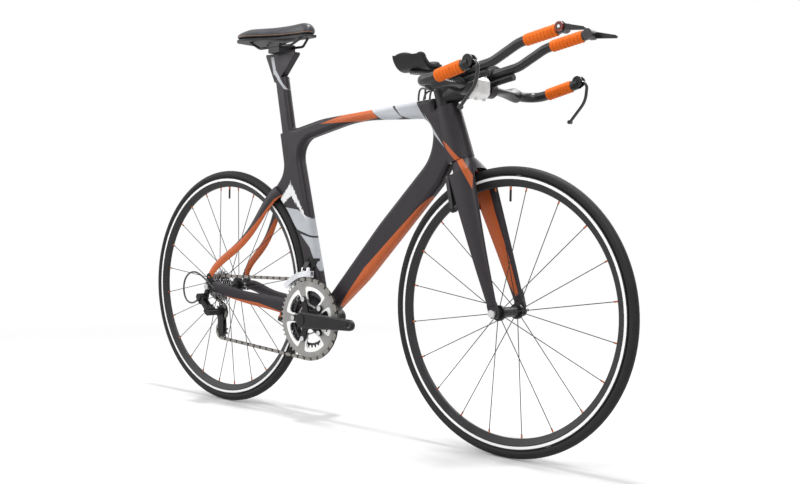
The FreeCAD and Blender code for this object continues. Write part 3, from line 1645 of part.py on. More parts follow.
def grip_tape():
    points = horn_points()
    horn = sleeve(points[2], points[3], horn_tape_start_share, horn_tape_end_share, horn_radius)
    points = extension_points()
    extension = sleeve(points[2], points[3], extension_tape_start_share, extension_tape_end_share,
                       extension_radius)
    return both_sides(horn) + both_sides(extension)


def lever_pivot():
    points = horn_points()
    along = (points[3] - points[2]).normalize()
    return points[3] + along * (lever_body_length * lever_pivot_share) + up_axis * lever_boss_rise


def brake_lever_body():
    points = horn_points()
    along = (points[3] - points[2]).normalize()
    pivot = lever_pivot()
    plug = rod(points[3] + along * running_gap, points[3] + along * (lever_body_length * lever_plug_share),
               horn_radius)
    boss = disc(pivot, 0, lever_boss_half_width, lever_boss_radius)
    body = plug.fuse(boss)
    slot = disc(pivot, 0, lever_slot_half_width, lever_hub_radius + seat_gap)
    room = block(pivot + V(lever_boss_radius, 0, 0), fore_axis, side_axis, 2 * lever_boss_radius,
                 2 * lever_slot_half_width,
                 2 * lever_boss_radius + cut_overrun)
    body = body.cut(slot).cut(room)
    body = max(body.Solids, key=lambda solid: solid.Volume)
    return body.fuse(disc(pivot, 0, lever_boss_half_width, lever_pin_radius))


def brake_lever():
    pivot = lever_pivot()
    points = [
        pivot,
        pivot + V(lever_front_reach, 0, -lever_front_drop),
        pivot + V(lever_belly_reach, 0, -lever_belly_drop),
        pivot + V(lever_tip_reach, 0, -lever_tip_drop),
    ]
    path = rounded_path(points, [0, lever_front_round, lever_belly_round, 0], False)
    along = (points[1] - points[0]).normalize()
    upward = along.cross(side_axis)
    section = ellipse_wire(points[0], side_axis, upward, lever_half_width, lever_blade_half_thickness)
    blade = swept(path, section)
    tip = disc(points[3], 0, lever_half_width, lever_tip_radius)
    lever = blade.fuse([disc(pivot, 0, lever_half_width, lever_hub_radius), tip])
    return lever.cut(disc(pivot, 0, lever_half_width + cut_overrun, lever_pin_radius + running_gap))


def extension_points():
    side = -extension_half_spacing
    return [
        V(extension_rear_x, side, extension_rear_z),
        V(extension_bend_x, side, extension_bend_z),
        V(extension_rise_x, side, extension_rise_z),
        V(extension_tip_x, side, extension_tip_z),
    ]


def extension_bar():
    return swept_tube(extension_points(), extension_round, extension_radius)


def pod_centre():
    points = extension_points()
    along = (points[3] - points[2]).normalize()
    return points[3] + along * pod_length


def shifter_body():
    points = extension_points()
    along = (points[3] - points[2]).normalize()
    centre = pod_centre()
    body = rod(points[3] + along * running_gap, centre, extension_radius)
    body = body.fuse(disc(centre, 0, pod_boss_half_width, pod_boss_radius))
    outer = centre.y - pod_boss_half_width
    pin = rod(at_side(centre, centre.y), at_side(centre,
            outer - shift_lever_thickness - pod_cap_thickness), shift_pin_radius)
    cap = rod(at_side(centre, outer - shift_lever_thickness - 2 * seat_gap),
              at_side(centre, outer - shift_lever_thickness - pod_cap_thickness), shift_hub_radius)
    return body.fuse([pin, cap])


def shift_lever():
    centre = pod_centre()
    side = centre.y - pod_boss_half_width - seat_gap - shift_lever_thickness / 2
    start = at_side(centre, side)
    end = start + V(shift_lever_reach, 0, -shift_lever_drop)
    lever = strap(start, end, shift_lever_root_radius, shift_lever_tip_radius, side_axis,
                  shift_lever_thickness)
    lever = lever.fuse(disc(start, 0, shift_lever_thickness / 2, shift_hub_radius))
    return lever.cut(disc(start, 0, shift_lever_thickness, shift_pin_radius + running_gap))


def cup_arc(radius, thickness, half_length, inset):
    centre = V(cup_mid_x, -cup_side, cup_axis_height)
    inner_turn = cup_inner_angle - inset / radius
    outer_turn = cup_outer_angle - inset / radius

    def point(reach, turn):
        return centre + V(-half_length, -reach * math.sin(turn), -reach * math.cos(turn))

    low = radius
    high = radius - thickness
    middle = (outer_turn - inner_turn) / 2
    edges = [
        Part.Arc(point(low, -inner_turn), point(low, middle), point(low, outer_turn)).toShape(),
        Part.makeLine(point(low, outer_turn), point(high, outer_turn)),
        Part.Arc(point(high, outer_turn), point(high, middle), point(high, -inner_turn)).toShape(),
        Part.makeLine(point(high, -inner_turn), point(low, -inner_turn)),
    ]
    return Part.Face(Part.Wire(edges)).extrude(fore_axis * (2 * half_length))


def arm_rest_mount(bar, extension):
    points = extension_points()
    along = (points[1] - points[0]).normalize()
    centre = points[0] + along * ((bar_centre.x - points[0].x) / along.x)
    clamp = rod(centre - along * rest_clamp_half_length, centre + along * rest_clamp_half_length,
                rest_clamp_radius)
    ring_centre = at_side(bar_centre, centre.y)
    ring = disc(ring_centre, 0, rest_ring_half_width, rest_ring_radius)
    stub_start = centre - up_axis * (rest_clamp_radius + rest_stub_radius * rest_stub_sink_share)
    stub = rod(stub_start, stub_start + along * rest_stub_length, rest_stub_radius)
    plate_height = cup_axis_height - cup_radius - cup_thickness - rest_plate_thickness / 2
    root = V(centre.x - rest_clamp_half_length, -rest_plate_side, plate_height)
    tip = V(cup_mid_x, -cup_side, plate_height)
    plate = strap(root, tip, rest_plate_root_radius, rest_plate_tip_radius, up_axis, rest_plate_thickness)
    mount = clamp.fuse([ring, stub, plate])
    mount = mount.cut(extension).cut(bar)
    return max(mount.Solids, key=lambda solid: solid.Volume)


def arm_cup():
    return cup_arc(cup_radius + cup_thickness, cup_thickness, cup_length / 2, 0)


def arm_pad():
    return cup_arc(cup_radius - running_gap, pad_soft_thickness, cup_length / 2 - pad_soft_inset,
                   pad_soft_inset)


def housing(route, sign, extra=0):
    return swept_tube([V(x, y * sign, z) for x, y, z in route], housing_round, housing_radius + extra)


def rear_loop(extra=0):
    return swept_tube([V(*point) for point in rear_route], rear_route_round, housing_radius + extra)


# Seat


def seatpost():
    post = seat_bore(0, collar_run - post_insertion, post_top_run)
    rear = post_point(post_top_run, -post_depth / 2)
    front = post_point(post_top_run, post_depth / 2)
    middle_x = (rear.x + front.x) / 2
    notch = front + (rear - front).normalize() * head_front_inset
    corners = [
        rear - post_up * head_round,
        V(middle_x - head_rear_reach, 0, head_top_height - head_round),
        V(middle_x - head_rear_reach, 0, head_top_height),
        V(middle_x + head_front_reach, 0, head_top_height),
        V(middle_x + head_front_reach, 0, head_top_height - head_round),
        notch,
        notch - post_up * head_round,
    ]
    for corner in corners:
        corner.y = -head_half_width
    head = polygon_face(corners).extrude(side_axis * (2 * head_half_width))
    pieces = [post.fuse(head)]
    for share in post_screw_runs_shares:
        run = collar_run + (post_top_run - collar_run) * share
        start = post_point(run, -post_depth / 2 - running_gap)
        pieces.append(rod(start, start - post_ahead * post_screw_height, post_screw_radius))
    return pieces


def rail_points():
    rise = saddle_shell_height + rail_radius
    return [
        V(saddle_mid - rail_rear_end, -rail_rear_spread, rise),
        V(saddle_mid - rail_rear_reach, -rail_half_spacing, rail_height),
        V(saddle_mid + rail_front_reach, -rail_half_spacing, rail_height),
        V(saddle_mid + rail_front_end, -rail_front_spread, rise),
    ]


def saddle_rails():
    rail = swept_tube(rail_points(), rail_bend, rail_radius)
    above = V(saddle_mid, 0, saddle_shell_height + cut_overrun / 2)
    rail = rail.cut(block(above, fore_axis, side_axis, saddle_length, saddle_width, cut_overrun))
    return both_sides(rail)


def saddle_clamp():
    low_start = head_top_height + running_gap
    centre = V(saddle_mid, 0, low_start + clamp_low_height / 2)
    top_start = low_start + clamp_low_height + clamp_split
    top_centre = V(saddle_mid, 0, top_start + clamp_top_height / 2)
    low = block(centre, fore_axis, side_axis, 2 * clamp_half_length, 2 * clamp_half_width, clamp_low_height)
    top = block(top_centre, fore_axis, side_axis, 2 * clamp_half_length, 2 * clamp_half_width,
                clamp_top_height)
    for sign in (1, -1):
        start = V(saddle_mid - clamp_half_length - cut_overrun, sign * rail_half_spacing, rail_height)
        groove = rod(start, start + fore_axis * (2 * (clamp_half_length + cut_overrun)),
                     rail_radius + rail_fit)
        low = low.cut(groove)
        top = top.cut(groove)
    pieces = []
    for sign in (1, -1):
        start = V(saddle_mid + sign * clamp_half_length / 2, 0, low_start)
        hole = rod(start, start + up_axis * cut_overrun, clamp_bolt_radius + running_gap)
        low = low.cut(hole)
        top = top.cut(hole)
        head = V(start.x, 0, top_start + clamp_top_height + running_gap)
        bolt = rod(start, head, clamp_bolt_radius).fuse(rod(head, head + up_axis * clamp_bolt_head_height,
                                                            clamp_bolt_head_radius))
        pieces.append(bolt)
    return [low, top] + pieces


def saddle_station(share):
    return saddle_mid + saddle_length * (share - saddle_rear_share)


def saddle_shell():
    sections = []
    for station, width in zip(saddle_station_shares, saddle_width_shares):
        half = saddle_width * width / 2 * saddle_shell_inset_share
        x = saddle_station(station)
        low = saddle_shell_height
        high = low + saddle_shell_thickness
        corners = [V(x, -half, low), V(x, half, low), V(x, half, high), V(x, -half, high)]
        sections.append(Part.makePolygon(corners + [corners[0]]))
    return Part.makeLoft(sections, True, False)


def saddle_pad():
    sections = []
    base = saddle_shell_height + saddle_shell_thickness + running_gap
    rows = zip(saddle_station_shares, saddle_width_shares, saddle_side_shares, saddle_crown_shares)
    for station, width, side, crown in rows:
        half = saddle_width * width / 2
        x = saddle_station(station)
        shoulder = base + saddle_pad_thickness * side
        top = base + saddle_pad_thickness * crown
        edges = [
            Part.makeLine(V(x, -half, base), V(x, half, base)),
            Part.makeLine(V(x, half, base), V(x, half, shoulder)),
            Part.Arc(V(x, half, shoulder), V(x, 0, top), V(x, -half, shoulder)).toShape(),
            Part.makeLine(V(x, -half, shoulder), V(x, -half, base)),
        ]
        sections.append(Part.Wire(edges))
    return Part.makeLoft(sections, True, False)


frame_solid = main_frame()
chain_stay_pair = chain_stays(frame_solid)
seat_stay_pair = seat_stays(frame_solid)
bar_solid = base_bar()
extension_solid = extension_bar()
rest_solid = arm_rest_mount(bar_solid, extension_solid)

save("main_frame", frame_tubes(frame_solid))
save("seat_stays", seat_stay_pair)
save("chain_stays", chain_stay_pair)
save("rear_dropouts", rear_dropouts(chain_stay_pair + seat_stay_pair))
save("frame_inserts", frame_bearings() + bottle_bosses())
save("rear_skewer", skewer(rear_axle, rear_axle_half_width,
                           rear_left_flange_offset + 2 * flange_half_thickness,
                           first_sprocket_offset, dropout_thickness))
save("rear_quick_release", [skewer_lever(rear_axle, rear_axle_half_width, dropout_thickness,
                                         rear_lever_along)])
save("chain", chain())
save("rear_housing", [rear_loop()])
save("front_derailleur_body", [front_derailleur_body(frame_solid)])
save("front_derailleur_link", [front_derailleur_link()])
save("front_derailleur_cage", [front_derailleur_cage()])
save("rear_derailleur_body", [rear_derailleur_body()])
save("rear_derailleur_outer_link", [derailleur_link(outer_link_offset)])
save("rear_derailleur_inner_link", [derailleur_link(inner_link_offset)])
save("rear_derailleur_knuckle", [derailleur_knuckle()])
save("rear_derailleur_cage", [derailleur_cage()])
save("guide_pulley", [pulley(guide_point(), chain_phases[2])])
save("tension_pulley", [pulley(tension_centre, chain_phases[3])])
save("cassette", cassette() + [freehub()])
save("right_crank", [right_crank(), crank_spindle()])
save("left_crank", [left_crank()])
save("outer_chainring", [outer_chainring()])
save("inner_chainring", [inner_chainring()])
save("chainring_bolts", chainring_bolts())
save("front_tyre", [tyre(front_axle)])
save("front_rim", [rim(front_axle)])
save("front_spokes", front_spokes() + [valve(front_axle)])
front_hub_end = front_axle_half_width - axle_cap_width
save("front_hub", [hub(front_axle, front_flange_offset, front_flange_offset, front_flange_radius,
                       front_barrel_radius,
                       front_hub_end, front_hub_end)])
save("rear_tyre", [tyre(rear_axle)])
save("rear_rim", [rim(rear_axle)])
save("rear_spokes", rear_spokes() + [valve(rear_axle)])
save("rear_hub", [hub(rear_axle, rear_left_flange_offset, rear_right_flange_offset, rear_flange_radius,
                      rear_barrel_radius, rear_left_flange_offset + 2 * flange_half_thickness,
                      rear_right_flange_offset + flange_half_thickness)])
save("front_skewer", skewer(front_axle, front_axle_half_width, front_hub_end, front_hub_end,
                            dropout_thickness))
save("front_quick_release", [skewer_lever(front_axle, front_axle_half_width, dropout_thickness,
                                          front_lever_along)])
save("fork", [fork()])
save("stem", [stem(bar_solid)])
save("stem_face_plate", [stem_face_plate(bar_solid)])
save("stem_fasteners", stem_fasteners())
save("base_bar", [bar_solid])
save("grip_tape", grip_tape())
save("brake_lever_bodies", both_sides(brake_lever_body()))
save("right_brake_lever", [brake_lever()])
save("left_brake_lever", [mirrored(brake_lever())])
save("extension_bars", both_sides(extension_solid))
save("shifter_bodies", both_sides(shifter_body()))
save("right_shift_lever", [shift_lever()])
save("left_shift_lever", [mirrored(shift_lever())])
save("arm_rest_mounts", both_sides(rest_solid) + both_sides(arm_cup()))
save("arm_pads", both_sides(arm_pad()))
save("control_housings", [housing(route, sign) for route in (shift_route, brake_route) for sign in (1, -1)])
save("seatpost", seatpost())
save("saddle_clamp", saddle_clamp())
save("saddle_rails", saddle_rails())
save("saddle_shell", [saddle_shell()])
save("saddle_pad", [saddle_pad()])
for arm_side, sign in (("right", -1), ("left", 1)):
    front_arm = brake_arm(front_brake_point, sign, front_brake_pivot_side, front_brake_tip_side,
                          front_brake_drop,
                          front_brake_reach, front_brake_along, front_brake_back)
    rear_arm = brake_arm(rear_brake_point, sign, rear_brake_pivot_side, rear_brake_tip_side,
                         rear_brake_drop,
                         rear_brake_reach, rear_brake_along, rear_brake_back)
    save("front_brake_" + arm_side, [front_arm])
    save("rear_brake_" + arm_side, [rear_arm])
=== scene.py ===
import math

import bmesh
import bpy
from mathutils import Matrix, Vector

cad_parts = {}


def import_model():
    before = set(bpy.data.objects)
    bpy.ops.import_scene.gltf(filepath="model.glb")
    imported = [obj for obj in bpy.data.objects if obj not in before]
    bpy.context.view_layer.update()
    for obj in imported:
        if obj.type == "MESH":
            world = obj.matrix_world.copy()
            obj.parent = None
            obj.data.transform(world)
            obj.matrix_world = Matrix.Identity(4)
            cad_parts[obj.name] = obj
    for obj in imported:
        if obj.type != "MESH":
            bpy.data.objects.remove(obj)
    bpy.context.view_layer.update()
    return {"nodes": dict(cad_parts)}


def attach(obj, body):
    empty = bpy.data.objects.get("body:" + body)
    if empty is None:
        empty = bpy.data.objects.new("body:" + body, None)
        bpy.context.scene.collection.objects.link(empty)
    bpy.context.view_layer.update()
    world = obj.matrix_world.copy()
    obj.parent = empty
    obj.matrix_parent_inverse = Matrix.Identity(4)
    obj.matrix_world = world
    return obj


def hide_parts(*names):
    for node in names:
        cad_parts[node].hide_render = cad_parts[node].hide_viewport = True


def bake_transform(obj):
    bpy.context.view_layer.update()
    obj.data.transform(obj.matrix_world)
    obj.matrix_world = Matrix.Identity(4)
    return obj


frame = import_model()
nodes = frame["nodes"]

# Axles and pivots as (x, z), and the chain's plane, taken from the solids, in metres
REAR_AXLE = (-0.5, 0.334)
FRONT_AXLE = (0.5, 0.334)
BRACKET = (-0.11, 0.27)
SHIFT_PIVOT = (0.6658, 0.9582)
CHAIN_PLANE = -0.0454

# Colours, linear
CHARCOAL = (0.0138, 0.0105, 0.0136)
FLAKE = (0.055, 0.052, 0.055)
ORANGE = (0.37, 0.078, 0.018)
TAPE_ORANGE = (0.67, 0.121, 0.004)
NIPPLE_ORANGE = (0.40, 0.095, 0.022)
SILVER = (0.40, 0.415, 0.44)
WHITE = (0.66, 0.66, 0.67)
BLACK = (0.008, 0.008, 0.009)
SOFT_BLACK = (0.011, 0.011, 0.012)
DARK_RED = (0.16, 0.012, 0.012)
TAN = (0.20, 0.095, 0.045)

# Where a soft noise has most of its values
DRIFT = (0.3, 0.7)


def shade(colour, factor):
    return tuple(part * factor for part in colour)


class Graph:
    """A material being wired, with short calls for the nodes used here."""

    def __init__(self, name):
        self.material = bpy.data.materials.new(name)
        self.material.use_nodes = True
        self.tree = self.material.node_tree
        self.shader = self.tree.nodes["Principled BSDF"]
        self.place = self.tree.nodes.new("ShaderNodeTexCoord").outputs["Object"]
        self.parts = None

    def link(self, source, target):
        if hasattr(source, "is_linked"):
            self.tree.links.new(source, target)
        else:
            target.default_value = source

    def math(self, operation, *values):
        node = self.tree.nodes.new("ShaderNodeMath")
        node.operation = operation
        for value, socket in zip(values, node.inputs):
            self.link(value, socket)
        return node.outputs[0]

    def axis(self, index):
        if self.parts is None:
            node = self.tree.nodes.new("ShaderNodeSeparateXYZ")
            self.link(self.place, node.inputs[0])
            self.parts = node.outputs
        return self.parts[index]

    def vector(self, operation, vector, place=None):
        node = self.tree.nodes.new("ShaderNodeVectorMath")
        node.operation = operation
        self.link(place or self.place, node.inputs[0])
        node.inputs[1].default_value = vector
        return node.outputs

    def dot(self, vector, place=None):
        return self.vector("DOT_PRODUCT", vector, place)["Value"]

    def scaled(self, vector):
        return self.vector("MULTIPLY", vector)[0]

    def noise(self, scale, detail=2.0, rough=0.5, place=None):
        node = self.tree.nodes.new("ShaderNodeTexNoise")
        self.link(place or self.place, node.inputs["Vector"])
        node.inputs["Scale"].default_value = scale
        node.inputs["Detail"].default_value = detail
        node.inputs["Roughness"].default_value = rough
        return node.outputs[0]

    def waves(self, value, rate):
        return self.math("SINE", self.math("MULTIPLY", value, rate))

    def between(self, value, low, high, new_low=0.0, new_high=1.0):
        node = self.tree.nodes.new("ShaderNodeMapRange")
        node.clamp = True
        self.link(value, node.inputs[0])
        for socket, number in zip(node.inputs[1:5], (low, high, new_low, new_high)):
            socket.default_value = number
        return node.outputs[0]

    def above(self, value, edge, soft):
        return self.between(value, edge, edge + soft)

    def below(self, value, edge, soft):
        return self.between(value, edge, edge + soft, 1.0, 0.0)

    def band(self, value, low, high, soft):
        return self.math("MULTIPLY", self.above(value, low, soft), self.below(value, high, soft))

    def drift(self, pattern, low=0.0, high=1.0):
        """A value that goes from low to high with a soft noise."""
        return self.between(pattern, *DRIFT, low, high)

    def mix(self, share, first, second):
        node = self.tree.nodes.new("ShaderNodeMix")
        node.data_type = "RGBA"
        self.link(share, node.inputs[0])
        for value, socket in ((first, node.inputs[6]), (second, node.inputs[7])):
            if isinstance(value, tuple) and len(value) == 3:
                value = value + (1.0,)
            self.link(value, socket)
        return node.outputs[2]

    def mottled(self, pattern, first, second):
        """A colour that goes from first to second with a soft noise."""
        return self.mix(self.drift(pattern), first, second)

    def bump(self, height, distance, strength):
        node = self.tree.nodes.new("ShaderNodeBump")
        node.inputs["Distance"].default_value = distance
        node.inputs["Strength"].default_value = strength
        self.link(height, node.inputs["Height"])
        self.link(node.outputs[0], self.shader.inputs["Normal"])

    def length(self, across, upward):
        squares = [self.math("MULTIPLY", value, value) for value in (across, upward)]
        return self.math("SQRT", self.math("ADD", *squares))

    def offsets(self, centre):
        """Distances forward and up from an (x, z) centre, seen from the side."""
        return [self.math("SUBTRACT", self.axis(index), place) for index, place in zip((0, 2), centre)]

    def radius(self, centre):
        return self.length(*self.offsets(centre))

    def angle(self, centre):
        across, upward = self.offsets(centre)
        return self.math("ARCTAN2", upward, across)

    def panel(self, corners, wobble=None, place=None):
        """1 inside a convex outline of (x, z) corners in millimetres, seen from the side."""
        sides = list(zip(corners, corners[1:] + corners[:1]))
        area = sum(a[0] * b[1] - b[0] * a[1] for a, b in sides)
        sign = 1 if area > 0 else -1
        least = None
        for a, b in sides:
            run = math.hypot(b[0] - a[0], b[1] - a[1])
            normal = (-(b[1] - a[1]) / run * sign, 0.0, (b[0] - a[0]) / run * sign)
            offset = -(normal[0] * a[0] + normal[2] * a[1]) / 1000
            depth = self.math("ADD", self.dot(normal, place), offset)
            least = depth if least is None else self.math("MINIMUM", least, depth)
        if wobble is not None:
            least = self.math("ADD", least, wobble)
        return self.between(least, -PAINT_EDGE / 2, PAINT_EDGE / 2)

    def panels(self, outlines, **words):
        whole = None
        for outline in outlines:
            one = self.panel(outline, **words)
            whole = one if whole is None else self.math("MAXIMUM", whole, one)
        return whole

    def finish(self, colour, rough, metallic=0.0, coat=0.0, coat_rough=0.1, specular=0.5):
        if isinstance(colour, tuple):
            colour = colour + (1.0,)
        self.link(colour, self.shader.inputs["Base Color"])
        self.link(rough, self.shader.inputs["Roughness"])
        self.shader.inputs["Metallic"].default_value = metallic
        self.shader.inputs["Coat Weight"].default_value = coat
        self.shader.inputs["Coat Roughness"].default_value = coat_rough
        self.shader.inputs["Specular IOR Level"].default_value = specular
        return self.material


def dress(material, *names):
    for name in names:
        slots = nodes[name].data.materials
        slots.clear()
        slots.append(material)


# Paint

# Width in metres over which one paint passes into the next, and how far its edge wanders
PAINT_EDGE = 0.0007
EDGE_WANDER = 0.0003
TORN_DEPTH = 0.020
TORN_GRAIN = (330.0, 1.0, 60.0)


def paint(name, orange=(), silver=(), torn=(), extra=None):
    """Matte charcoal lacquer with flakes, and panels of orange and silver."""
    g = Graph(name)
    cloud = g.noise(7.0, detail=3.0)
    flake = g.noise(2600.0, detail=1.0)
    colour = g.mottled(cloud, CHARCOAL, shade(CHARCOAL, 1.25))
    colour = g.mix(g.between(flake, 0.60, 0.75, 0.0, 0.35), colour, FLAKE)
    edge = g.math("MULTIPLY", g.math("SUBTRACT", g.noise(900.0, detail=1.0), 0.5), EDGE_WANDER)
    if orange:
        colour = g.mix(g.panels(orange, wobble=edge), colour, g.mottled(cloud, ORANGE, shade(ORANGE, 1.16)))
    if extra:
        colour = extra(g, colour)
    if silver:
        sheen = g.mix(g.between(g.noise(12.0), 0.35, 0.65), SILVER, shade(SILVER, 0.86))
        colour = g.mix(g.panels(silver, wobble=edge), colour, sheen)
    if torn:
        streak = g.noise(1.0, detail=3.0, rough=0.6, place=g.scaled(TORN_GRAIN))
        rip = g.math("MULTIPLY", g.math("SUBTRACT", streak, 0.5), TORN_DEPTH)
        colour = g.mix(g.panels(torn, wobble=rip), colour, WHITE)
    g.bump(g.noise(520.0), distance=0.00006, strength=0.5)
    rough = g.drift(g.noise(38.0, detail=3.0), 0.40, 0.52)
    return g.finish(colour, rough, coat=0.05, coat_rough=0.32, specular=0.25)


# Paint outlines as (x, z) corners in millimetres, each one convex
TOP_ORANGE = [[(-146, 778), (-32, 806), (70, 822), (100, 790), (31, 789), (-44, 783)]]
TOP_SILVER = [
    [(64, 822), (131, 832), (178, 791), (112, 786)],
    [(142, 832), (213, 842), (242, 800), (255, 770), (224, 780), (186, 784)],
    [(242, 801), (281, 752), (262, 760), (235, 775)],
    [(250, 798), (318, 712), (279, 750)],
]
HEAD_ORANGE = [[(310, 731), (326, 709), (366, 672), (384, 672), (326, 723)]]
DOWN_ORANGE = [
    [(322, 634), (267, 594), (235, 569), (235, 500), (330, 600)],
    [(235, 569), (59, 413), (59, 340), (235, 500)],
    [(59, 413), (-37, 300), (-60, 240), (59, 340)],
]
CHEVRON = [
    [(-220, 632), (-275, 572), (-246, 575), (-215, 602)],
    [(-220, 632), (-218, 598), (-178, 552), (-158, 536)],
]
SEAT_SILVER = [
    [(-258, 567), (-191, 559), (-150, 538), (-128, 487), (-190, 505), (-225, 537)],
    [(-179, 494), (-119, 481), (-106, 440), (-141, 458)],
    [(-141, 458), (-106, 440), (-88, 345)],
]
STAY_EDGE = [
    (-250, 600), (-280, 586), (-300, 566), (-320, 542), (-340, 520), (-360, 498), (-380, 480), (-400, 464),
    (-420, 451), (-440, 439), (-460, 428), (-480, 416), (-512, 390),
]
STAY_DEPTH = 90
STAY_ORANGE = [
    [first, second, (second[0], second[1] - STAY_DEPTH), (first[0], first[1] - STAY_DEPTH)]
    for first, second in zip(STAY_EDGE, STAY_EDGE[1:])
]
CHAIN_STAY_ORANGE = [
    [(-470, 316), (-398, 307), (-398, 292), (-470, 300)],
    [(-398, 307), (-316, 299), (-316, 272), (-398, 292)],
    [(-316, 299), (-235, 280), (-235, 262), (-316, 272)],
]
CROWN_ORANGE = [[(318, 716), (334, 716), (394, 646), (393, 614)]]
INNER_ORANGE = [
    [(372, 640), (410, 640), (432, 560), (395, 530)],
    [(395, 530), (432, 560), (470, 450), (450, 420)],
    [(450, 420), (470, 450), (494, 372), (486, 366)],
]
POST_SILVER = [
    [(-316, 980), (-304, 980), (-294, 940), (-303, 930)],
    [(-303, 934), (-294, 942), (-250, 888), (-258, 888)],
]

# How far the crown's stripe moves forward for each metre away from the middle
CROWN_LEAN = 0.7


def fork_panels(g, colour):
    """A stripe that runs on across crown and blade, and orange inner faces of the blades."""
    lean = g.tree.nodes.new("ShaderNodeCombineXYZ")
    aside = g.math("MULTIPLY", g.math("ABSOLUTE", g.axis(1)), CROWN_LEAN)
    g.link(g.math("SUBTRACT", g.axis(0), aside), lean.inputs[0])
    g.link(g.axis(2), lean.inputs[2])
    colour = g.mix(g.panels(CROWN_ORANGE, place=lean.outputs[0]), colour, ORANGE)
    surface = g.tree.nodes.new("ShaderNodeNewGeometry")
    turn = g.tree.nodes.new("ShaderNodeVectorTransform")
    turn.vector_type = "NORMAL"
    turn.convert_from = "WORLD"
    turn.convert_to = "OBJECT"
    g.link(surface.outputs["Normal"], turn.inputs[0])
    outward = g.math("MULTIPLY", g.dot((0.0, 1.0, 0.0), turn.outputs[0]), g.math("SIGN", g.axis(1)))
    inner = g.between(outward, -0.45, -0.35, 1.0, 0.0)
    return g.mix(g.math("MULTIPLY", inner, g.panels(INNER_ORANGE)), colour, shade(ORANGE, 0.9))


frame_paint = paint(
    "frame_paint",
    orange=TOP_ORANGE + HEAD_ORANGE + DOWN_ORANGE,
    silver=TOP_SILVER + SEAT_SILVER,
    torn=CHEVRON,
)
dress(frame_paint, "main_frame")
dress(paint("stay_paint", orange=STAY_ORANGE), "seat_stays")
dress(paint("chain_stay_paint", orange=CHAIN_STAY_ORANGE), "chain_stays")
dress(paint("fork_paint", extra=fork_panels), "fork")
dress(paint("post_paint", silver=POST_SILVER), "seatpost")


# Metals and plastics


def anodised(name, colour, rough, metallic=0.0, grain=(240.0, 240.0, 240.0), coat=0.0):
    """An even finish with a soft mottle and a fine grain; the grain is finer along its larger numbers."""
    g = Graph(name)
    cloud = g.noise(30.0, detail=3.0)
    tone = g.mottled(cloud, colour, tuple(min(part * 1.3 + 0.002, 1.0) for part in colour))
    fine = g.noise(6.0, detail=3.0, rough=0.6, place=g.scaled(grain))
    g.bump(fine, distance=0.00005, strength=0.5)
    return g.finish(tone, g.drift(fine, rough - 0.06, rough + 0.07), metallic, coat=coat, specular=0.3)


def turned_metal(name, colour, rough, centre):
    """Metal with fine rings about an axle across the bike."""
    g = Graph(name)
    cloud = g.noise(46.0, detail=3.0)
    g.bump(g.waves(g.radius(centre), 5200.0), distance=0.00003, strength=0.4)
    tone = g.mottled(cloud, colour, shade(colour, 0.82))
    return g.finish(tone, g.drift(cloud, rough - 0.05, rough + 0.08), metallic=1.0)


black_alloy = anodised("black_alloy", SOFT_BLACK, 0.36, 0.3, grain=(60.0, 900.0, 60.0))
black_gloss = anodised("black_gloss", BLACK, 0.24, coat=0.4)
black_matte = anodised("black_matte", SOFT_BLACK, 0.5)
bare_steel = anodised("bare_steel", (0.50, 0.50, 0.51), 0.32, 1.0, grain=(700.0, 60.0, 700.0))
silver_alloy = anodised("silver_alloy", (0.62, 0.63, 0.65), 0.30, 1.0, grain=(60.0, 60.0, 900.0))
black_steel = anodised("black_steel", (0.028, 0.028, 0.030), 0.34, 0.6)
white_plate = anodised("white_plate", (0.70, 0.70, 0.69), 0.42, grain=(180.0, 180.0, 180.0))
bar_carbon = anodised("bar_carbon", SOFT_BLACK, 0.34, grain=(320.0, 320.0, 320.0), coat=0.15)

dress(
    black_alloy,
    "rear_dropouts", "stem", "brake_lever_bodies", "arm_rest_mounts", "front_hub", "rear_hub",
    "front_brake_right", "front_brake_left", "rear_brake_right", "rear_brake_left", "saddle_clamp",
    "rear_derailleur_body", "rear_derailleur_outer_link", "rear_derailleur_inner_link",
    "rear_derailleur_knuckle", "rear_derailleur_cage", "front_derailleur_body", "front_derailleur_link",
    "right_crank", "left_crank",
)
dress(bar_carbon, "base_bar", "extension_bars")
dress(black_gloss, "right_brake_lever", "left_brake_lever", "right_shift_lever", "left_shift_lever")
dress(black_matte, "saddle_shell", "guide_pulley", "tension_pulley")
dress(bare_steel, "frame_inserts", "front_skewer", "rear_skewer", "stem_fasteners", "chainring_bolts")
dress(silver_alloy, "front_derailleur_cage")
dress(black_steel, "saddle_rails", "front_quick_release", "rear_quick_release")
dress(white_plate, "stem_face_plate")
dress(turned_metal("cassette_steel", (0.55, 0.55, 0.56), 0.30, REAR_AXLE), "cassette")
dress(turned_metal("inner_ring_metal", (0.06, 0.06, 0.065), 0.40, BRACKET), "inner_chainring")

# The outer face of the shifter bodies, and the radii of their red ring and bolt, in metres
POD_FACE = 0.0676
POD_RING = 0.0062
POD_BOLT = 0.0032
POD_SOFT = 0.0004


def pod_finish():
    """Black pods with a dark red ring beside the lever and a pale centre bolt."""
    g = Graph("shifter_pods")
    radius = g.radius(SHIFT_PIVOT)
    cloud = g.noise(60.0, detail=3.0)
    tone = g.mottled(cloud, BLACK, (0.022, 0.022, 0.024))
    face = g.above(g.math("ABSOLUTE", g.axis(1)), POD_FACE, POD_SOFT)
    tone = g.mix(g.math("MULTIPLY", face, g.above(radius, POD_RING, POD_SOFT)), tone, DARK_RED)
    tone = g.mix(g.math("MULTIPLY", face, g.below(radius, POD_BOLT, POD_SOFT)), tone, (0.70, 0.70, 0.68))
    g.bump(g.noise(900.0), distance=0.00004, strength=0.5)
    return g.finish(tone, g.drift(cloud, 0.28, 0.40))


# How far the outer plates begin from the chain's plane, in metres
OUTER_PLATE = 0.00203
PLATE_SOFT = 0.00008


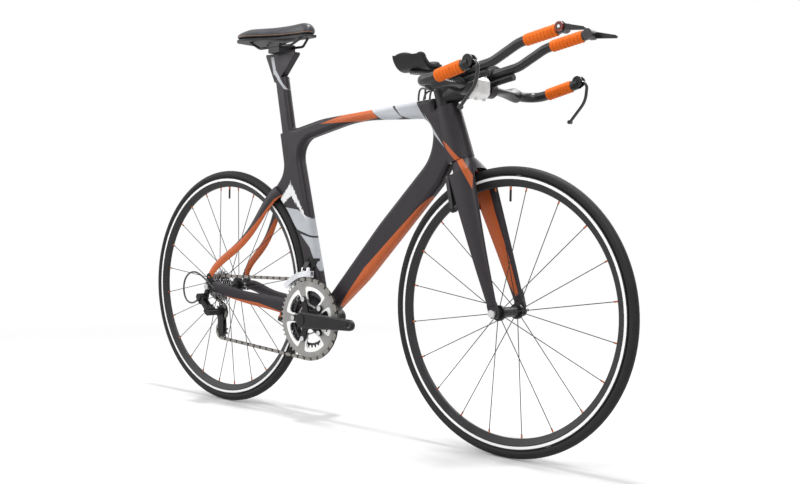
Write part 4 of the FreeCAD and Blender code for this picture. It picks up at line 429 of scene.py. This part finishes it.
def chain_steel():
    """Bright outer plates over darker inner plates and rollers, under a soft stain."""
    g = Graph("chain_steel")
    cloud = g.noise(420.0, detail=3.0)
    stain = g.between(cloud, 0.35, 0.65)
    offset = g.math("ABSOLUTE", g.math("SUBTRACT", g.axis(1), CHAIN_PLANE))
    bright = g.mix(stain, (0.30, 0.285, 0.26), (0.17, 0.16, 0.145))
    dark = g.mix(stain, (0.045, 0.042, 0.038), (0.020, 0.019, 0.018))
    tone = g.mix(g.above(offset, OUTER_PLATE, PLATE_SOFT), dark, bright)
    g.bump(g.noise(2200.0), distance=0.00004, strength=0.4)
    return g.finish(tone, g.drift(cloud, 0.34, 0.50), metallic=0.75)


# The pale border of the outer ring's windows: its outer and inner reach in metres, and its slanted sides
WINDOWS = 5
BORDER_OUTER = 0.0865
BORDER_INNER = 0.0480
BORDER_SLOPE = 0.47
BORDER_SIDE = 0.0032
BORDER_SOFT = 0.0004


def ring_finish():
    """Grey outer ring with a pale border round each of its five windows."""
    g = Graph("outer_ring_metal")
    radius = g.radius(BRACKET)
    pitch = 2 * math.pi / WINDOWS
    ahead = g.math("ADD", g.angle(BRACKET), 2 * WINDOWS * pitch + pitch / 2)
    folded = g.math("SUBTRACT", g.math("MODULO", ahead, pitch), pitch / 2)
    along = g.math("MULTIPLY", radius, g.math("COSINE", folded))
    beside = g.math("ABSOLUTE", g.math("MULTIPLY", radius, g.math("SINE", folded)))
    cloud = g.noise(40.0, detail=3.0)
    tone = g.mottled(cloud, (0.235, 0.230, 0.222), (0.285, 0.280, 0.270))
    outer = g.math("SUBTRACT", BORDER_OUTER, radius)
    reach = g.math("ADD", g.math("MULTIPLY", along, BORDER_SLOPE), BORDER_SIDE)
    slant = g.math("SUBTRACT", reach, beside)
    inner = g.math("SUBTRACT", along, BORDER_INNER)
    border = g.math("SMOOTH_MIN", g.math("SMOOTH_MIN", outer, slant, 0.012), inner, 0.010)
    tone = g.mix(g.between(border, -BORDER_SOFT, BORDER_SOFT), tone, (0.80, 0.80, 0.79))
    g.bump(g.waves(radius, 4200.0), distance=0.00003, strength=0.35)
    return g.finish(tone, g.drift(cloud, 0.34, 0.46), 0.55)


dress(pod_finish(), "shifter_bodies")
dress(chain_steel(), "chain")
dress(ring_finish(), "outer_chainring")


# Wheels

# Radii of the brake track, the tyre's wall and worn crown, and the nipples, in metres
BRAKE_TRACK = (0.3044, 0.3104)
TYRE_WALL = (0.3270, 0.3295)
TYRE_CROWN = (0.3315, 0.3335)
NIPPLE_START = 0.2795
WHEEL_SOFT = 0.0005


def rim_finish(name, centre):
    """Black rim with a machined pale brake track near the tyre."""
    g = Graph(name)
    radius = g.radius(centre)
    track = g.band(radius, *BRAKE_TRACK, WHEEL_SOFT)
    cloud = g.noise(24.0, detail=3.0)
    black = g.mottled(cloud, (0.010, 0.010, 0.011), (0.016, 0.016, 0.018))
    pale = g.mottled(cloud, (0.74, 0.74, 0.74), (0.84, 0.84, 0.84))
    g.bump(g.math("MULTIPLY", g.waves(radius, 9000.0), track), distance=0.00004, strength=0.4)
    return g.finish(g.mix(track, black, pale), g.drift(cloud, 0.34, 0.46), specular=0.3)


def tyre_finish(name, centre):
    """Black rubber with a smooth tread, a fine casing weave on the walls and a scuffed crown."""
    g = Graph(name)
    radius = g.radius(centre)
    threads = g.math("ADD", g.math("MULTIPLY", g.angle(centre), 1500.0), g.math("MULTIPLY", radius, 2600.0))
    wall = g.between(radius, *TYRE_WALL, 0.4, 0.0)
    weave = g.math("MULTIPLY", g.math("SINE", threads), wall)
    cloud = g.noise(30.0, detail=4.0)
    tone = g.mottled(cloud, (0.009, 0.009, 0.010), (0.015, 0.015, 0.015))
    scuff = g.between(g.noise(220.0, detail=3.0), 0.5, 0.72, 0.0, 0.5)
    worn = g.math("MULTIPLY", scuff, g.between(radius, *TYRE_CROWN))
    tone = g.mix(worn, tone, (0.040, 0.038, 0.036))
    g.bump(g.math("ADD", weave, g.noise(900.0)), distance=0.00008, strength=0.5)
    return g.finish(tone, g.drift(cloud, 0.52, 0.66), specular=0.2)


def spoke_finish(name, centre):
    """Black bladed wire with orange nipples at the rim."""
    g = Graph(name)
    cloud = g.noise(90.0)
    tone = g.mottled(cloud, BLACK, (0.014, 0.014, 0.015))
    tone = g.mix(g.above(g.radius(centre), NIPPLE_START, WHEEL_SOFT), tone, NIPPLE_ORANGE)
    g.bump(g.noise(1400.0), distance=0.00003, strength=0.5)
    return g.finish(tone, g.drift(cloud, 0.30, 0.42), specular=0.25)


for end, centre in (("front", FRONT_AXLE), ("rear", REAR_AXLE)):
    dress(rim_finish(end + "_rim_black", centre), end + "_rim")
    dress(tyre_finish(end + "_rubber", centre), end + "_tyre")
    dress(spoke_finish(end + "_spoke_wire", centre), end + "_spokes")


# Pieces added to the solids


def placed(name, data):
    piece = bpy.data.objects.new(name, data)
    bpy.context.scene.collection.objects.link(piece)
    return piece


def settled(piece):
    """The mesh that the piece shows, as new data; the piece itself goes."""
    shape = piece.evaluated_get(bpy.context.evaluated_depsgraph_get())
    mesh = bpy.data.meshes.new_from_object(shape)
    bpy.data.objects.remove(piece)
    return mesh


def new_piece(name, mesh, material, body, replaced):
    piece = placed(name, mesh)
    mesh.materials.clear()
    mesh.materials.append(material)
    for face in mesh.polygons:
        face.use_smooth = True
    if body:
        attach(piece, body)
    if replaced:
        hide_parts(*replaced)
    return piece


# Soft pieces

ROUNDING_STEPS = 6
FILLING_PRESSURE = 3.0
FILLING_STEPS = 20
FILLING_QUALITY = 4


def remeshed(source, voxel, shrink):
    """A copy of a soft solid as an even mesh, drawn in a little, with its sharp edges rounded."""
    piece = placed("soft_copy", source.data.copy())
    even = piece.modifiers.new("even", "REMESH")
    even.mode = "VOXEL"
    even.voxel_size = voxel
    rounded = piece.modifiers.new("round", "SMOOTH")
    rounded.factor = 0.5
    rounded.iterations = ROUNDING_STEPS
    mesh = settled(piece)
    for vertex, normal in [(v, v.normal.copy()) for v in mesh.vertices]:
        vertex.co -= normal * shrink
    return mesh


def filled(mesh, cap):
    """The mesh swollen by air pressure, with no point moved further than cap."""
    rest = [vertex.co.copy() for vertex in mesh.vertices]
    piece = placed("filling", mesh)
    cloth = piece.modifiers.new("cloth", "CLOTH")
    cloth.settings.use_pressure = True
    cloth.settings.uniform_pressure_force = FILLING_PRESSURE
    cloth.settings.effector_weights.gravity = 0.0
    cloth.settings.quality = FILLING_QUALITY
    cloth.point_cache.frame_end = FILLING_STEPS
    scene = bpy.context.scene
    for step in range(1, FILLING_STEPS + 1):
        scene.frame_set(step)
    swollen = settled(piece)
    scene.frame_set(1)
    for vertex, start in zip(swollen.vertices, rest):
        move = vertex.co - start
        if move.length > cap:
            vertex.co = start + move * (cap / move.length)
    return swollen


def subdivided(mesh):
    piece = placed("finer", mesh)
    piece.modifiers.new("finer", "SUBSURF").levels = 1
    return settled(piece)


# Heights of the tan line on the saddle, in metres
SADDLE_LINE = (1.0362, 1.0380)
LINE_SOFT = 0.0004


def saddle_cover():
    """Black moulded cover with leather grain and a tan line round its lower edge."""
    g = Graph("saddle_cover")
    cloud = g.noise(26.0, detail=3.0)
    line = g.band(g.axis(2), *SADDLE_LINE, LINE_SOFT)
    tone = g.mix(line, g.mottled(cloud, (0.012, 0.0125, 0.016), (0.019, 0.0195, 0.025)), TAN)
    cell = g.tree.nodes.new("ShaderNodeTexVoronoi")
    g.link(g.place, cell.inputs["Vector"])
    cell.inputs["Scale"].default_value = 620.0
    grain = g.math("SUBTRACT", cell.outputs["Distance"], g.math("MULTIPLY", line, 0.8))
    g.bump(grain, distance=0.00012, strength=0.55)
    return g.finish(tone, g.drift(cloud, 0.40, 0.52))


# Rate of the knit's waves, in radians per metre
KNIT_RATE = 5200.0


def pad_cover():
    """Black foam with a knitted cover."""
    g = Graph("pad_cover")
    cloud = g.noise(40.0, detail=3.0)
    knit = g.math("MULTIPLY", g.waves(g.axis(0), KNIT_RATE), g.waves(g.axis(1), KNIT_RATE))
    tone = g.mottled(cloud, (0.016, 0.016, 0.016), (0.030, 0.029, 0.029))
    tone = g.mix(g.between(knit, 0.2, 0.9, 0.0, 0.5), tone, (0.045, 0.044, 0.044))
    g.bump(knit, distance=0.00018, strength=0.6)
    return g.finish(tone, g.drift(cloud, 0.72, 0.86), specular=0.3)


# Middle of the arm rest cups and half their length, in metres
CUP_MID = 0.308
CUP_SIDE = 0.108
CUP_HEIGHT = 0.928
CUP_HALF = 0.041

# The pads' swells along the cup as (middle, half width, height), in half lengths of the cup
SWELLS = ((-0.35, 0.75, 1.0), (0.7, 0.4, 0.8))
LEAST_SWELL = 0.25
SWELL_SPREAD = 0.22
PAD_STRETCH = 1.15


def overstuffed(mesh):
    """The pads drawn up over the rims of their cups in two swells, and past the cups' ends."""
    for vertex in mesh.vertices:
        side = 1 if vertex.co.y > 0 else -1
        across = vertex.co.y * side - CUP_SIDE
        drop = CUP_HEIGHT - vertex.co.z
        reach = math.hypot(across, drop)
        run = (vertex.co.x - CUP_MID) / CUP_HALF
        swells = [high * (1 - ((run - middle) / half) ** 2) for middle, half, high in SWELLS]
        angle = math.atan2(across, drop) * (1 + SWELL_SPREAD * max(*swells, LEAST_SWELL))
        vertex.co.x = CUP_MID + (vertex.co.x - CUP_MID) * PAD_STRETCH
        vertex.co.y = (CUP_SIDE + reach * math.sin(angle)) * side
        vertex.co.z = CUP_HEIGHT - reach * math.cos(angle)
    return mesh


saddle_mesh = remeshed(nodes["saddle_pad"], voxel=0.005, shrink=0.0018)
saddle_mesh = subdivided(filled(saddle_mesh, cap=0.003))
saddle = new_piece("saddle_cushion", saddle_mesh, saddle_cover(), "saddle", ["saddle_pad"])

pad_mesh = overstuffed(remeshed(nodes["arm_pads"], voxel=0.004, shrink=0.0010))
pad_mesh = subdivided(filled(pad_mesh, cap=0.0025))
pads = new_piece("arm_cushions", pad_mesh, pad_cover(), "front_end", ["arm_pads"])


# Wrapped tape

# Ends of the right grips, the bar's radius there in metres, and the turns of tape
GRIPS = (
    ((0.4523, -0.214, 0.85282), (0.5215, -0.214, 0.8698), 0.0121, 8),
    ((0.56832, -0.052, 0.94004), (0.65094, -0.052, 0.95543), 0.0112, 9),
)
TAPE_THICKNESS = 0.0027
TAPE_SIDES = 40
ROWS_PER_TURN = 10

# Height of a turn where it starts and what it gains, as shares of the thickness
TURN_LOW = 0.55
TURN_GAIN = 0.45

# The wrap's ends thin out to a share of its height over a few rows
END_LOW = 0.25
END_ROWS = 3

# Where the painted shade at the joint between two turns starts, and how fast it comes and goes
JOINT_START = 0.93
JOINT_COMES = 6
JOINT_GOES = 7


def tape_finish():
    """Orange cork tape: a soft speckle, and painted shade in the step where one turn laps the next."""
    g = Graph("wrapped_tape")
    cloud = g.noise(60.0, detail=3.0)
    tone = g.mottled(cloud, TAPE_ORANGE, shade(TAPE_ORANGE, 0.86))
    tone = g.mix(g.between(g.noise(700.0), 0.60, 0.72, 0.0, 0.4), tone, (0.42, 0.075, 0.006))
    lap_shade = g.tree.nodes.new("ShaderNodeAttribute")
    lap_shade.attribute_name = "lap"
    # Painted shade: darker orange in the step where one turn laps the next
    tone = g.mix(g.between(lap_shade.outputs["Fac"], 0.0, 1.0, 0.0, 0.55), tone, (0.29, 0.048, 0.004))
    g.bump(g.noise(1300.0, detail=3.0), distance=0.00016, strength=0.6)
    return g.finish(tone, g.drift(cloud, 0.60, 0.74), specular=0.22)


def joined(mesh, low, high, order=1):
    """Faces between two rings of points."""
    for k in range(TAPE_SIDES):
        beside = (k + 1) % TAPE_SIDES
        mesh.faces.new([low[k], low[beside], high[beside], high[k]][::order])


def wrapped(start, end, radius, turns, mesh, layer):
    """A helical wrap between two points: each turn rises over the last one and steps down at its edge."""
    along = (end - start).normalized()
    across = along.cross(Vector((0, 0, 1))).normalized()
    upward = across.cross(along)
    length = (end - start).length
    rows = turns * ROWS_PER_TURN
    angles = [2 * math.pi * k / TAPE_SIDES for k in range(TAPE_SIDES)]
    spread = [across * math.cos(angle) + upward * math.sin(angle) for angle in angles]
    rings = []
    for row in range(rows + 1):
        run = row / rows
        height = min(1.0, END_LOW + min(run, 1 - run) * rows / END_ROWS)
        ring = []
        for k in range(TAPE_SIDES):
            phase = (run * turns - k / TAPE_SIDES) % 1.0
            rise = TAPE_THICKNESS * (TURN_LOW + TURN_GAIN * phase) * height
            vertex = mesh.verts.new(start + along * (run * length) + spread[k] * (radius + rise))
            # The lap value marks where painted shade falls in the step between two turns
            vertex[layer] = max(0.0, 1.0 - phase * JOINT_GOES) + max(0.0, (phase - JOINT_START) * JOINT_COMES)
            ring.append(vertex)
        rings.append(ring)
    for low, high in zip(rings, rings[1:]):
        joined(mesh, low, high)
    for ring, place, order in ((rings[0], start, -1), (rings[-1], end, 1)):
        inner = [mesh.verts.new(place + lean * radius) for lean in spread]
        joined(mesh, ring, inner, order)


def tape_wraps():
    """The wraps of all four grips as one mesh."""
    wrap = bmesh.new()
    lap = wrap.verts.layers.float.new("lap")
    for side in (1, -1):
        for low, high, radius, turns in GRIPS:
            ends = [Vector((x, y * side, z)) for x, y, z in (low, high)]
            wrapped(*ends, radius, turns, wrap, lap)
    bmesh.ops.recalc_face_normals(wrap, faces=wrap.faces)
    mesh = bpy.data.meshes.new("tape_wrap")
    wrap.to_mesh(mesh)
    wrap.free()
    return mesh


new_piece("tape_wrap", tape_wraps(), tape_finish(), "front_end", ["grip_tape"])


# Control housings

# Control points of the routes in millimetres; those of the bars are for the rider's left side
SHIFT_ROUTE = [(334, 52, 872.8), (296, 49, 865.6), (262, 24, 868), (246, 9, 862), (246, 9, 833)]
BRAKE_ROUTE = [(372, 70, 851), (316, 66, 846), (262, 34, 856), (226, 10, 862), (226, 10, 830)]
REAR_ROUTE = [
    (-476, -71, 329), (-500, -80, 352), (-545, -86, 388), (-602, -88, 352), (-590, -88, 280),
    (-547, -88, 281), (-529, -88, 294.5),
]
HOUSING_RADIUS = 0.0025


def housing_finish():
    g = Graph("cable_housing")
    cloud = g.noise(120.0, detail=3.0)
    tone = g.mottled(cloud, (0.014, 0.014, 0.015), (0.024, 0.024, 0.025))
    g.bump(g.noise(1600.0), distance=0.00005, strength=0.5)
    return g.finish(tone, g.drift(cloud, 0.36, 0.48))


def in_metres(point):
    return Vector(value / 1000 for value in point)


def tube_on(route, radius):
    """The mesh of a smooth tube on a route's control points, or its centre line where the radius is zero."""
    data = bpy.data.curves.new("route", "CURVE")
    data.dimensions = "3D"
    data.bevel_depth = radius
    data.bevel_resolution = 4
    data.use_fill_caps = True
    line = data.splines.new("NURBS")
    line.points.add(len(route) - 1)
    for point, place in zip(line.points, route):
        point.co = (*in_metres(place), 1.0)
    line.order_u = 4
    line.use_endpoint_u = True
    line.resolution_u = 16
    return settled(placed("route", data))


def housing(name, route, material, replaced, body):
    path = [vertex.co.copy() for vertex in tube_on(route, 0.0).vertices]
    piece = new_piece(name, tube_on(route, HOUSING_RADIUS), material, body, replaced)
    return piece


def control_housings(material):
    """Four curved housings between bars and frame; the first one stands for the node of all four."""
    replaced = ["control_housings"]
    for label, route in (("shift", SHIFT_ROUTE), ("brake", BRAKE_ROUTE)):
        for side, sign in (("left", 1), ("right", -1)):
            points = [(x, y * sign, z) for x, y, z in route]
            piece = housing(side + "_" + label + "_housing", points, material, replaced, None)
            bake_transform(piece)
            replaced = []


cable = housing_finish()
control_housings(cable)
housing("rear_shift_housing", REAR_ROUTE, cable, ["rear_housing"], "frame")


# Stage, light and camera

FLOOR_HALF = 12
FLOOR_DROP = 0.0005
FLOOR_GREY = (0.62, 0.62, 0.62)

# The floor turns from a surface that takes shadows to plain white between these distances, in metres
SHADOW_REACH = (0.9, 2.6)
LEAST_GLOW = 0.08
AMBIENT = 0.42

# Lamps as place, aim and size in metres, and power in watts
MID_BIKE = (0.0, 0.0, 0.5)
LAMPS = {
    "key": ((1.6, -2.6, 3.2), MID_BIKE, 2.4, 105.0),
    "top": ((0.0, 0.0, 4.2), (0.0, 0.0, 0.0), 0.5, 150.0),
    "fill": ((-2.8, -2.2, 2.2), MID_BIKE, 2.6, 60.0),
    "back": ((0.4, 2.8, 2.8), MID_BIKE, 2.4, 70.0),
}

# Camera place in metres, turns in degrees, and lens in millimetres
CAMERA_PLACE = (1.9021, -1.9631, 0.5607)
CAMERA_YAW = 41.49
CAMERA_PITCH = 1.69
CAMERA_ROLL = 1.11
SENSOR_WIDTH = 36.0
LENS = 47.28


def stage():
    """A floor that is white to the camera, and takes the shadows near the bike."""
    corners = [(-1, -1), (1, -1), (1, 1), (-1, 1)]
    mesh = bpy.data.meshes.new("floor")
    mesh.from_pydata([(x * FLOOR_HALF, y * FLOOR_HALF, 0) for x, y in corners], [], [(0, 1, 2, 3)])
    floor = placed("floor", mesh)
    floor.location.z = -FLOOR_DROP
    g = Graph("floor_white")
    g.finish(FLOOR_GREY, 0.9, specular=0.0)
    rays = g.tree.nodes.new("ShaderNodeLightPath").outputs
    glow = g.tree.nodes.new("ShaderNodeEmission")
    blend = g.tree.nodes.new("ShaderNodeMixShader")
    seen = g.math("MAXIMUM", rays["Is Camera Ray"], rays["Is Glossy Ray"])
    seen = g.math("MAXIMUM", seen, rays["Is Transmission Ray"])
    away = g.between(g.length(g.axis(0), g.axis(1)), *SHADOW_REACH, LEAST_GLOW, 1.0)
    g.link(g.math("MULTIPLY", seen, away), blend.inputs[0])
    g.link(g.shader.outputs[0], blend.inputs[1])
    g.link(glow.outputs[0], blend.inputs[2])
    g.link(blend.outputs[0], g.tree.nodes["Material Output"].inputs["Surface"])
    mesh.materials.append(g.material)


def world():
    """Dim light from all round, with plain white behind the bike and in its reflections."""
    space = bpy.data.worlds.new("studio")
    bpy.context.scene.world = space
    space.use_nodes = True
    tree = space.node_tree
    ambient = tree.nodes["Background"]
    backdrop = tree.nodes.new("ShaderNodeBackground")
    for light, strength in ((ambient, AMBIENT), (backdrop, 1.0)):
        light.inputs["Color"].default_value = (1.0, 1.0, 1.0, 1.0)
        light.inputs["Strength"].default_value = strength
    rays = tree.nodes.new("ShaderNodeLightPath").outputs
    blend = tree.nodes.new("ShaderNodeMixShader")
    seen = rays["Is Camera Ray"]
    for kind in ("Is Glossy Ray", "Is Transmission Ray"):
        larger = tree.nodes.new("ShaderNodeMath")
        larger.operation = "MAXIMUM"
        tree.links.new(seen, larger.inputs[0])
        tree.links.new(rays[kind], larger.inputs[1])
        seen = larger.outputs[0]
    tree.links.new(seen, blend.inputs[0])
    tree.links.new(ambient.outputs[0], blend.inputs[1])
    tree.links.new(backdrop.outputs[0], blend.inputs[2])
    tree.links.new(blend.outputs[0], tree.nodes["World Output"].inputs["Surface"])


def lamp(name, place, aim, size, power):
    data = bpy.data.lights.new(name, "AREA")
    data.size = size
    data.energy = power
    piece = placed(name, data)
    piece.location = place
    piece.rotation_euler = (Vector(aim) - Vector(place)).to_track_quat("-Z", "Y").to_euler()


def camera():
    yaw, pitch, roll = (math.radians(turn) for turn in (CAMERA_YAW, CAMERA_PITCH, CAMERA_ROLL))
    back = Vector((math.sin(yaw) * math.cos(pitch), -math.cos(yaw) * math.cos(pitch), math.sin(pitch)))
    right = (-back).cross(Vector((0, 0, 1))).normalized()
    upward = right.cross(-back)
    across = right * math.cos(roll) + upward * math.sin(roll)
    top = upward * math.cos(roll) - right * math.sin(roll)
    data = bpy.data.cameras.new("camera")
    data.sensor_fit = "HORIZONTAL"
    data.sensor_width = SENSOR_WIDTH
    data.lens = LENS
    piece = placed("camera", data)
    turn = Matrix((across, top, back)).transposed().to_4x4()
    piece.matrix_world = Matrix.Translation(Vector(CAMERA_PLACE)) @ turn
    bpy.context.scene.camera = piece


stage()
world()
for name, settings in LAMPS.items():
    lamp(name, *settings)
camera()
bpy.context.scene.view_settings.view_transform = "Standard"
